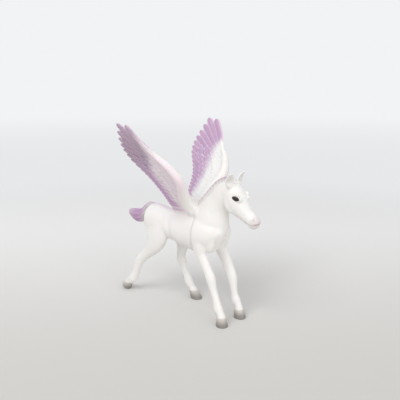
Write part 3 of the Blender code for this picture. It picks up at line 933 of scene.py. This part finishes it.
mane = {
    "width": 2.6 * mm,
    "height": 4.0 * mm,
    "rows": [  # forward, up, half width, half height
        (0.90, 0.69, 0.30, 0.30),
        (0.76, 0.68, 0.50, 0.50),
        (0.55, 0.57, 0.50, 0.50),
        (0.32, 0.35, 0.40, 0.50),
        (0.08, 0.11, 0.30, 0.40),
    ],
    "locks": 12.5,
    "lockDepth": 0.17,
    "slant": 2.6,
    "strandDepth": 0.035,
    "sway": 0.5,
    "swayWaves": 19.0,
    "leftLean": 0.9,
    "sides": 48,
    "paintLength": 25.0,
    "lilacAtPoll": 0.80,
    "lilacAtWithers": 0.45,
}


def buildMane():  # a ridge of slanting locks along the crest of the neck
    rows = smoothRows(mane["rows"], 24)
    last = len(rows) - 1
    places = [withers + Vector((row[0], 0.0, row[1])) * neckAndHead["neckLength"] for row in rows]
    rings = []
    for index, row in enumerate(rows):
        run = places[min(index + 1, last)] - places[max(index - 1, 0)]
        rise = leftward.cross(run).normalized()
        rings.append((places[index], leftward * (row[2] * mane["width"]), rise * (row[3] * mane["height"])))

    def wave(share, sideways, height):
        fall = abs(math.atan2(height, sideways) - math.pi / 2)
        fall = min(fall, 2 * math.pi - fall)
        lean = mane["sway"] * math.sin(share * mane["swayWaves"]) + (mane["leftLean"] if sideways > 0 else 0.0)
        return share * mane["locks"] * 2 * math.pi - fall * mane["slant"] + lean * min(fall, 1.0)

    def swell(share, turn, rise):
        return rise + math.sin(turn * 3) * mane["strandDepth"]

    def colour(share, height):  # palest low on the sides; darker and more mauve towards the top, partly the mane's mauve paint and partly painted shade along the crest
        lilac = mane["lilacAtPoll"] + (mane["lilacAtWithers"] - mane["lilacAtPoll"]) * share
        return lilac * (0.30 + 0.70 * max(height, 0.0)), 0.3 * max(height, 0.0)

    return hairPiece("foalMane", rings, mane, wave, swell, colour)


foalTail = buildTail()
foalMane = buildMane()
print("hair built:", len(foalTail.data.polygons) + len(foalMane.data.polygons), "faces")


def buildEyes(body):  # two low almond domes set into the head
    tree = skinTree(body.data)
    form = newForm()
    for side in (-1, 1):
        seat, forward, up, out = seatOfEye(tree, side)
        made = bmesh.ops.create_uvsphere(form, u_segments=eyes["sides"], v_segments=eyes["rings"], radius=1.0)
        for vert in made["verts"]:
            x, y, z = vert.co
            pinch = 1.0 - eyes["pinch"] * abs(x) ** 3
            bend = (x * eyes["halfLength"]) ** 2 / (2 * eyes["headRadius"])
            vert.co = seat + forward * (x * eyes["halfLength"]) + up * (y * pinch * eyes["halfHeight"])
            vert.co += out * (z * eyes["halfDepth"] - eyes["halfDepth"] + eyes["bulge"] - bend)
    return meshObject(form, "foalEyes")


foalEyes = buildEyes(foalBody)
print("eyes built")


# paint


def storeMark(mesh, name, values):
    layer = mesh.attributes.new(name, "FLOAT", "POINT")
    layer.data.foreach_set("value", np.asarray(values, dtype=np.float32))


def hollowness(mesh, places, normals, rounds=3):  # how much each point lies in a crease
    ends = np.empty(len(mesh.edges) * 2, np.int64)
    mesh.edges.foreach_get("vertices", ends)
    first, second = ends.reshape(-1, 2).T
    run = places[second] - places[first]
    run /= np.maximum(np.linalg.norm(run, axis=1), 1e-9)[:, None]

    def gathered(atFirst, atSecond):  # the sum at each point over its edges
        total = np.zeros(len(places))
        np.add.at(total, first, atFirst)
        np.add.at(total, second, atSecond)
        return total

    edges = np.maximum(gathered(1, 1), 1)
    leans = [np.einsum("ij,ij->i", normals[end], run) for end in (first, second)]
    value = gathered(leans[0], -leans[1]) / edges
    for _ in range(rounds):
        value = 0.5 * value + 0.5 * gathered(value[second], value[first]) / edges
    return value


paintPlaces = {  # lines and spots seen from the side or from above, in mm
    "backLine": [(-9.0, 0.0), (-15.0, 0.0), (-22.0, 0.0), (-27.5, 0.0)],
    "backWidth": 3.0,
    "backAmount": 0.42,
    "wingFoot": [(6.0, 54.6), (0.0, 53.9), (-9.0, 53.2)],
    "wingFootWidth": 1.3,
    "wingFootAmount": 0.7,
    # a painted shade line along the carved shoulder crease
    "shoulderShadeLine": [(12.1, 54.0), (12.3, 50.0), (12.0, 43.0), (11.6, 38.5)],
    "shoulderShadeWidth": 0.45,
    "shoulderShadeAmount": 0.55,
    "hoofTop": 3.8,
    "hoofFade": 5.6,
    "pasternTop": 9.5,
    "pasternAmount": 0.5,
    "noseTip": (47.0, 54.8),
    "noseReach": (6.0, 0.8),
    "mouth": [(41.8, 54.3), (44.3, 54.4), (47.4, 54.0)],
    "mouthWidth": 0.32,
    "nostril": (45.7, 2.6, 56.6),
    "nostrilRadius": 0.75,
    "wingRoom": (50.0, 2.5),  # how high and how far out the wings' skin begins
    "wingNear": (5.0, 2.2),  # how far from the wing's middle sheet its colour reaches
    "wingStart": (-0.04, 0.03),
    "faceOut": (0.2, -0.2),
    "footSpan": (0.20, 0.04),  # the wing's foot, where both faces look alike
    "footShare": (0.55, 0.80),
    "footAmount": 0.8,
    "earAcross": (0.95, 0.55),
    "earFoot": (0.12, 0.3),
    "earTip": (1.0, 0.85),
    "earFacing": (0.1, 0.5),
    "creaseRange": (0.02, 0.14),
}


def wingMarks(places, normals):  # how much colour the wings' skin carries, and how much of it faces out
    keys = np.linspace(-0.15, 1.05, 400)
    sheet = np.array([wingPoint(key, 0.0) for key in keys])
    line = sheet[:, 1:] / mm
    spots = np.abs(places / mm)
    lowest, inmost = paintPlaces["wingRoom"]
    picked = np.nonzero((spots[:, 2] > lowest) & (spots[:, 1] > inmost))[0]
    order = np.empty(len(picked), np.int64)
    away = np.empty(len(picked))
    batch = 4000
    for start in range(0, len(picked), batch):
        gap = np.linalg.norm(spots[picked[start:start + batch], None, 1:] - line[None], axis=2)
        order[start:start + batch] = gap.argmin(axis=1)
        away[start:start + batch] = gap.min(axis=1)

    def read(name):
        return np.array([readCurve(wing[name], key)[0] for key in keys])[order]

    front = read("leading")
    chord = (places[picked, 0] - sheet[order, 0]) / wing["chord"]
    share = (front - chord) / (front - read("trailing"))
    inside, outside = wingColour(share, {name: read(name) for name in wing["softness"]})
    rise = np.gradient(line, axis=0)[order]
    facing = rise[:, 0] * normals[picked, 2] - rise[:, 1] * normals[picked, 1] * np.sign(places[picked, 1])
    onOuter = blendStep(*paintPlaces["faceOut"], facing / np.linalg.norm(rise, axis=1))
    foot = blendStep(*paintPlaces["footSpan"], keys[order]) * blendStep(*paintPlaces["footShare"], share)
    onOuter *= 1.0 - foot * paintPlaces["footAmount"]
    amount = inside * (1.0 - onOuter) + outside * onOuter
    amount *= blendStep(*paintPlaces["wingNear"], away) * blendStep(*paintPlaces["wingStart"], keys[order])
    lilac, outer = np.zeros((2, len(places)))
    lilac[picked] = amount
    outer[picked] = onOuter
    return lilac, outer


def earMarks(places, normals):  # the hollow front of each ear
    inEar = np.zeros(len(places))
    heights, halves = (np.array(column) for column in list(zip(*ears["rows"]))[:2])
    for side in (-1, 1):
        foot, lean, across, front = (np.array(part) for part in earAxes(side))
        local = places - foot
        along = local @ lean / ears["length"]
        sideways = np.abs(local @ across) / (np.interp(along, heights, halves) * ears["width"])
        value = blendStep(*paintPlaces["earAcross"], sideways) * blendStep(*paintPlaces["earFoot"], along)
        value *= blendStep(*paintPlaces["earTip"], along) * blendStep(*paintPlaces["earFacing"], normals @ front)
        inEar = np.maximum(inEar, value * (np.sign(places[:, 1]) == side))
    return inEar


def markBody(body):
    mesh = body.data
    places = pointArray(mesh)
    normals = pointArray(mesh, "vector")
    x, y, z = (places / mm).T
    y = np.abs(y)
    fromSide = np.stack([x, z], axis=1)

    def drawn(line, width, seen=fromSide):
        return np.exp(-((distanceToLine(seen, paintPlaces[line]) / paintPlaces[width]) ** 2))

    lilac, outer = wingMarks(places, normals)
    wingFoot = drawn("wingFoot", "wingFootWidth") * blendStep(1.5, 3.5, y) * paintPlaces["wingFootAmount"]
    back = drawn("backLine", "backWidth", np.stack([x, y], axis=1)) * paintPlaces["backAmount"]
    back *= blendStep(0.15, 0.75, normals[:, 2]) * blendStep(47.0, 51.0, z)
    storeMark(mesh, "lilac", np.clip(np.maximum.reduce([lilac, wingFoot, back]), 0, 1))
    storeMark(mesh, "outer", outer)
    hoof = blendStep(paintPlaces["hoofFade"], paintPlaces["hoofTop"], z)
    pastern = blendStep(paintPlaces["pasternTop"], paintPlaces["hoofFade"], z) * paintPlaces["pasternAmount"]
    # grey fades up the pasterns only on faces turned away from the front, so sides and back are darker: grey paint
    # with painted shade
    storeMark(mesh, "hoof", np.maximum(hoof, pastern * blendStep(0.45, -0.25, normals[:, 0])))
    nose = np.linalg.norm(fromSide - np.array(paintPlaces["noseTip"]), axis=1)
    storeMark(mesh, "muzzle", blendStep(*paintPlaces["noseReach"], nose))
    # the line mark is painted shade in the carved mouth groove and nostril pit
    mouth = drawn("mouth", "mouthWidth") * blendStep(3.4, 1.5, y)
    gap = np.linalg.norm(np.stack([x, y, z], axis=1) - np.array(paintPlaces["nostril"]), axis=1)
    storeMark(mesh, "line", np.maximum(mouth, np.exp(-((gap / paintPlaces["nostrilRadius"]) ** 4))))
    storeMark(mesh, "earInside", earMarks(places, normals))
    shoulderShade = drawn("shoulderShadeLine", "shoulderShadeWidth") * blendStep(4.0, 6.0, y) * paintPlaces["shoulderShadeAmount"]
    # the crease mark is painted shade: concave places and the line along the carved shoulder crease
    crease = blendStep(*paintPlaces["creaseRange"], hollowness(mesh, places, normals))
    storeMark(mesh, "crease", np.maximum(crease, shoulderShade))


markBody(foalBody)
print("paint places marked")


class Link:  # a node's output; sums and products on it write their own Math nodes
    def __init__(self, paint, socket):
        self.paint = paint
        self.socket = socket

    def calc(self, operation, *others):
        values = {index: value for index, value in enumerate((self, *others))}
        return self.paint.node("ShaderNodeMath", {"operation": operation}, values)

    def __add__(self, other):
        return self.calc("ADD", other)

    def __sub__(self, other):
        return self.calc("SUBTRACT", other)

    def __mul__(self, other):
        return self.calc("MULTIPLY", other)

    def __rsub__(self, other):
        return self.paint.node("ShaderNodeMath", {"operation": "SUBTRACT"}, {0: other, 1: self})

    __radd__ = __add__
    __rmul__ = __mul__


class Nodes:  # writes nodes into one tree
    def __init__(self, tree):
        self.tree = tree

    def feed(self, socket, value):
        if isinstance(value, Link):
            self.tree.links.new(value.socket, socket)
        else:
            socket.default_value = value

    def node(self, kind, settings=None, sockets=None, output=0):
        made = self.tree.nodes.new(kind)
        for key, value in (settings or {}).items():
            setattr(made, key, value)
        for key, value in (sockets or {}).items():
            self.feed(made.inputs[key], value)
        return Link(self, made.outputs[output])

    def mark(self, name):  # a number stored on the mesh
        return self.node("ShaderNodeAttribute", {"attribute_name": name}, output="Fac")

    def coords(self):
        return self.node("ShaderNodeTexCoord", output="Object")

    def noise(self, scale, detail=2.0, roughness=0.5):
        sockets = {"Vector": self.coords(), "Scale": scale, "Detail": detail, "Roughness": roughness}
        return self.node("ShaderNodeTexNoise", None, sockets)

    def step(self, value, low, high):
        sockets = {"Value": value, "From Min": low, "From Max": high}
        return self.node("ShaderNodeMapRange", {"interpolation_type": "SMOOTHSTEP"}, sockets)

    def mix(self, factor, first, second):  # colours
        settings = {"data_type": "RGBA", "clamp_factor": True}
        return self.node("ShaderNodeMix", settings, {0: factor, 6: first, 7: second}, output=2)

    def seen(self):  # 1 for what the camera, a mirror or glass looks at, 0 for light on the object
        camera, glossy, clear = (self.node("ShaderNodeLightPath", output=f"Is {kind} Ray")
                                 for kind in ("Camera", "Glossy", "Transmission"))
        return (camera + glossy + clear).calc("MINIMUM", 1.0)


class Paint(Nodes):  # one material and the nodes that make it
    def __init__(self, name, fixed):
        self.material = bpy.data.materials.new(name)
        self.material.use_nodes = True
        super().__init__(self.material.node_tree)
        self.shader = self.tree.nodes["Principled BSDF"]
        for socket, value in fixed.items():
            self.shader.inputs[socket].default_value = value

    def sprayed(self, base, amount, hue, outer):  # lilac on the inner face, two depths of mauve on the outer
        foot = self.step(self.height(), *spray["footHeights"])
        deep = self.mix(foot, colours["deepMauve"], colours["footLilac"])
        mauve = self.mix(self.step(amount, *spray["deepRange"]), colours["mauve"], deep)
        inner = self.mix(self.step(amount, *spray["innerRange"]) * spray["strength"], base, hue)
        outside = self.mix(self.step(amount, *spray["outerRange"]) * spray["strength"], base, mauve)
        return self.mix(outer, inner, outside)

    def pearly(self, cloud, amount):  # the plastic's own colour, a little warmer in places
        return self.mix(self.step(cloud, *spray["warmRange"]) * amount, colours["pearl"], colours["warmPearl"])

    def height(self):  # above the ground
        return self.node("ShaderNodeSeparateXYZ", None, {0: self.coords()}, output="Z")

    def bump(self, height, strength, distance):
        sockets = {"Height": height, "Strength": strength, "Distance": distance}
        return self.node("ShaderNodeBump", None, sockets)

    def finish(self, **sockets):
        names = {"colour": "Base Color", "roughness": "Roughness", "normal": "Normal"}
        for key, value in sockets.items():
            self.feed(self.shader.inputs[names[key]], value)
        return self.material


def sRgb(red, green, blue):  # a colour named in the usual 0 to 255 numbers
    def plain(value):
        value /= 255
        return value / 12.92 if value < 0.04045 else ((value + 0.055) / 1.055) ** 2.4
    return (plain(red), plain(green), plain(blue), 1.0)


colours = {
    "pearl": sRgb(240, 238, 236),
    "warmPearl": sRgb(235, 231, 227),
    # grey-brown of the painted shade in creases
    "creaseShade": sRgb(176, 164, 158),
    "lilac": sRgb(188, 153, 187),
    "deepLilac": sRgb(168, 132, 168),
    "paleLilac": sRgb(228, 206, 226),
    "footLilac": sRgb(203, 168, 206),
    "mauve": sRgb(243, 228, 236),
    "deepMauve": sRgb(180, 155, 178),
    # dark of the painted shade in the mouth groove and nostril
    "line": sRgb(150, 124, 128),
    "maneGrey": sRgb(168, 149, 159),
    "manePale": sRgb(206, 190, 199),
    "tailGrey": sRgb(203, 191, 198),
    "hoof": sRgb(140, 135, 130),
    "hoofLight": sRgb(202, 196, 190),
    "muzzle": sRgb(222, 214, 214),
    "earInside": sRgb(226, 222, 219),
    "eye": (0.012, 0.011, 0.011, 1.0),
    "eyeBrown": (0.030, 0.022, 0.018, 1.0),
}

plastic = {"Roughness": 0.42, "IOR": 1.46, "Coat Weight": 0.12, "Coat Roughness": 0.35,
           "Subsurface Weight": 0.08, "Subsurface Scale": 0.0015}


spray = {  # how the sprayed colours lie on any piece
    "strength": 0.95,
    "innerRange": (0.02, 0.95),
    "outerRange": (0.0, 0.5),
    "deepRange": (0.50, 1.0),
    "footHeights": (86.0 * mm, 66.0 * mm),
    "warmRange": (0.35, 0.75),
    "roughnessSpread": 0.10,
}

bodyLook = {
    "cloudScale": 90.0,
    "fineScale": 900.0,
    "grainScale": 2600.0,
    "warmth": 0.55,
    "creaseStrength": 0.55,
    "edgeBreak": 0.2,  # how far the clouds move the edge of a colour
    "fineBreak": 0.10,
    "noseRange": (0.1, 0.8),
    "noseStrength": 0.8,
    "mouthShadeStrength": 0.85,
    "earStrength": 0.9,
    "hoofPale": (1.0 * mm, 5.0 * mm),
    "hoofBreak": 3.0 * mm,
    "hoofRange": (0.1, 0.95),
    "roughness": 0.37,
    "fineRoughness": 0.05,
    "bump": 0.10,
    "bumpDepth": 0.08 * mm,
}


def pearlPaint():
    look = bodyLook
    paint = Paint("pearlPaint", plastic)
    cloud = paint.noise(look["cloudScale"], 3.0)
    fine = paint.noise(look["fineScale"], 2.0)
    patch = (cloud - 0.5) * look["edgeBreak"]
    base = paint.pearly(cloud, look["warmth"])
    # creases darkened towards grey-brown: painted shade
    base = paint.mix(paint.mark("crease") * look["creaseStrength"], base, colours["creaseShade"])
    lilac = paint.mark("lilac") + patch + (fine - 0.5) * look["fineBreak"]
    base = paint.sprayed(base, lilac, colours["lilac"], paint.mark("outer"))
    nose = paint.step(paint.mark("muzzle") + patch, *look["noseRange"])
    base = paint.mix(nose * look["noseStrength"], base, colours["muzzle"])
    # mouth groove and nostril darkened: painted shade
    base = paint.mix(paint.mark("line") * look["mouthShadeStrength"], base, colours["line"])
    base = paint.mix(paint.mark("earInside") * look["earStrength"], base, colours["earInside"])
    hoofTone = paint.step(paint.height() + (cloud - 0.5) * look["hoofBreak"], *look["hoofPale"])
    hoofTone = paint.mix(hoofTone, colours["hoof"], colours["hoofLight"])
    base = paint.mix(paint.step(paint.mark("hoof") + patch, *look["hoofRange"]), base, hoofTone)
    rough = cloud * spray["roughnessSpread"] + look["roughness"] + fine * look["fineRoughness"]
    bump = paint.bump(paint.noise(look["grainScale"], 3.0, 0.6), look["bump"], look["bumpDepth"])
    return paint.finish(colour=base, roughness=rough, normal=bump)


featherLook = {
    "cloudScale": 120.0,
    "grainScale": 2600.0,
    "warmth": 0.5,
    "edgeBreak": 0.15,
    "wornBreak": 0.8,
    "wornRange": (0.2, 0.9),
    "wornStrength": 0.5,
    "rimRange": (0.45, 0.92),
    "rimStrength": 0.85,
    "barbs": 9.0,
    "roughness": 0.40,
    "bump": 0.22,
    "bumpDepth": 0.06 * mm,
}


def featherPaint():
    look = featherLook
    paint = Paint("featherPaint", plastic)
    cloud = paint.noise(look["cloudScale"], 3.0)
    along, across, rim, tone = (paint.mark(name) for name in ("along", "across", "rim", "tone"))
    toned = paint.step(tone + (cloud - 0.5) * look["wornBreak"], *look["wornRange"])
    hue = paint.mix(toned * look["wornStrength"], colours["lilac"], colours["deepLilac"])
    hue = paint.mix(paint.step(rim, *look["rimRange"]) * look["rimStrength"], hue, colours["paleLilac"])
    lilac = paint.mark("lilac") + (cloud - 0.5) * look["edgeBreak"]
    base = paint.sprayed(paint.pearly(cloud, look["warmth"]), lilac, hue, paint.mark("outer"))
    barbs = ((along - across.calc("ABSOLUTE")) * look["barbs"]).calc("SINE")
    height = barbs * 0.5 + paint.noise(look["grainScale"], 2.0) * 0.6
    rough = cloud * spray["roughnessSpread"] + look["roughness"]
    return paint.finish(colour=base, roughness=rough, normal=paint.bump(height, look["bump"], look["bumpDepth"]))


hairLook = {
    "cloudScale": 140.0,
    "grainScale": 2200.0,
    "cloudRange": (0.3, 0.75),
    "cloudStrength": 0.6,
    "grooveRange": (0.55, 1.0),
    "grooveShadeStrength": 0.5,
    "edgeBreak": 0.2,
    "edgeRange": (0.1, 0.7),
    "strands": 7.0,
    "ripples": 1.3,
    "rippleDepth": 0.8,
    "roughness": 0.42,
    "bump": 0.3,
    "bumpDepth": 0.1 * mm,
}


def hairPaint(name, light, dark, toned):  # colours of the locks, of the grooves and of the toned places; the darker grooves between locks are painted shade
    look = hairLook
    paint = Paint(name, plastic)
    cloud = paint.noise(look["cloudScale"], 3.0)
    along, across, rim = (paint.mark(name) for name in ("along", "across", "rim"))
    hue = paint.mix(paint.step(cloud, *look["cloudRange"]) * look["cloudStrength"], light, dark)
    # grooves between the locks darkened: painted shade
    hue = paint.mix(paint.step(rim, *look["grooveRange"]) * look["grooveShadeStrength"], hue, dark)
    hue = paint.mix(paint.mark("tone"), hue, toned)
    edge = paint.step(paint.mark("lilac") + (cloud - 0.5) * look["edgeBreak"], *look["edgeRange"])
    base = paint.mix(edge, colours["pearl"], hue)
    ripples = (along * look["ripples"]).calc("SINE") * look["rippleDepth"]
    strands = (across * look["strands"] + ripples).calc("SINE")
    height = strands * 0.5 + paint.noise(look["grainScale"], 2.0) * 0.5
    rough = cloud * spray["roughnessSpread"] + look["roughness"]
    return paint.finish(colour=base, roughness=rough, normal=paint.bump(height, look["bump"], look["bumpDepth"]))


def eyePaint():
    paint = Paint("eyePaint", {"IOR": 1.46})
    cloud = paint.noise(700.0, 2.0)
    return paint.finish(colour=paint.mix(cloud, colours["eye"], colours["eyeBrown"]), roughness=cloud * 0.1 + 0.3)


def centre(pieces):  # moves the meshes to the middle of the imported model's box, and keeps them inside it
    low, high = (np.array(corner) for corner in cadBounds)
    along = np.concatenate([pointArray(piece.data)[:, 0] for piece in pieces])
    shift = (low[0] + high[0]) / 2 - (along.min() + along.max()) / 2
    for piece in pieces:
        places = pointArray(piece.data) + np.array((shift, 0.0, 0.0))
        placePoints(piece.data, np.clip(places, low, high))


def dress(piece, material):
    piece.data.materials.clear()
    piece.data.materials.append(material)
    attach(piece, "root")


centre([foalBody, wingFeathers, foalTail, foalMane, foalEyes])
dress(foalBody, pearlPaint())
dress(wingFeathers, featherPaint())
dress(foalTail, hairPaint("tailPaint", colours["lilac"], colours["deepLilac"], colours["tailGrey"]))
dress(foalMane, hairPaint("manePaint", colours["manePale"], colours["maneGrey"], colours["maneGrey"]))
dress(foalEyes, eyePaint())
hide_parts("pegasus_foal")
print("painted")

# studio

studio = {
    "floorRadius": 6.0,
    "floorNear": sRgb(203, 201, 197),
    "floorFar": sRgb(237, 237, 237),
    "wallLow": sRgb(231, 232, 234),
    "wallHigh": sRgb(241, 243, 245),
    "keyPower": 3.4,
    "fillPower": 1.1,
    "worldLight": 0.68,
    "lampAim": (0.0, 0.0, 50.0 * mm),
    "keyPlace": (0.02, -0.55, 0.75),
    "keySize": 0.6,
    "fillPlace": (0.62, -0.15, 0.15),
    "fillSize": 0.5,
    "behind": (-0.67, 0.74, 0.0),  # the way along which the floor turns paler: a painted pool of light behind the foal
    "paler": (-0.12, 0.16),
    "floorFade": (0.19, 0.42),  # distances over which the floor turns into the wall, and the wall turns pale
    "wallFade": (0.4, 2.2),
    "cameraPlace": (159.4 * mm, -165.8 * mm, 113.1 * mm),
    "cameraAim": (10.1 * mm, 0.0, 60.0 * mm),
    "lens": 40.5,
}


def aimed(name, data, place, aim):  # a lamp or camera at a place, looking at another
    made = linked(name, data)
    made.location = place
    made.rotation_euler = (Vector(aim) - Vector(place)).to_track_quat("-Z", "Y").to_euler()
    return made


def addLamp(kind):
    light = bpy.data.lights.new(kind + "Lamp", "AREA")
    light.shape = "DISK"
    light.size = studio[kind + "Size"]
    light.energy = studio[kind + "Power"]
    aimed(kind + "Lamp", light, studio[kind + "Place"], studio["lampAim"])


def buildFloor():
    form = newForm()
    bmesh.ops.create_circle(form, cap_ends=True, segments=96, radius=studio["floorRadius"])
    floor = meshObject(form, "studioFloor")
    paint = Paint("floorPaint", {"Roughness": 0.75, "Specular IOR Level": 0.2})
    where = paint.coords()
    far = paint.node("ShaderNodeVectorMath", {"operation": "LENGTH"}, {0: where}, output="Value")
    behind = paint.node("ShaderNodeVectorMath", {"operation": "DOT_PRODUCT"}, {0: where, 1: studio["behind"]},
                        output="Value")
    # floor painted paler behind the foal and darker towards the camera: painted light
    tone = paint.mix(paint.step(behind, *studio["paler"]), studio["floorNear"], studio["floorFar"])
    paint.finish(colour=tone)
    wall = paint.mix(paint.step(far, *studio["wallFade"]), studio["wallLow"], studio["wallHigh"])
    glow = paint.node("ShaderNodeEmission", None, {"Color": wall, "Strength": 1.0})
    factor = paint.step(far, *studio["floorFade"]) * paint.seen()
    joined = paint.node("ShaderNodeMixShader", None, {0: factor, 1: Link(paint, paint.shader.outputs[0]), 2: glow})
    paint.feed(paint.tree.nodes["Material Output"].inputs["Surface"], joined)
    floor.data.materials.append(paint.material)


def buildWorld():
    world = bpy.data.worlds.new("studioWorld")
    bpy.context.scene.world = world
    world.use_nodes = True
    nodes = Nodes(world.node_tree)
    light = nodes.tree.nodes["Background"]
    light.inputs["Color"].default_value = (1.0, 1.0, 1.0, 1.0)
    light.inputs["Strength"].default_value = studio["worldLight"]
    shown = nodes.node("ShaderNodeBackground", None, {"Color": studio["wallHigh"], "Strength": 1.0})
    blend = nodes.node("ShaderNodeMixShader", None, {0: nodes.seen(), 1: Link(nodes, light.outputs[0]), 2: shown})
    nodes.feed(nodes.tree.nodes["World Output"].inputs["Surface"], blend)


def buildCamera():
    lens = bpy.data.cameras.new("studioCamera")
    lens.lens = studio["lens"]
    lens.sensor_width = 36.0
    lens.clip_start = 0.005
    bpy.context.scene.camera = aimed("studioCamera", lens, studio["cameraPlace"], studio["cameraAim"])


buildFloor()
buildWorld()
buildCamera()
addLamp("key")
addLamp("fill")
bpy.context.scene.view_settings.view_transform = "Standard"
print("studio ready")
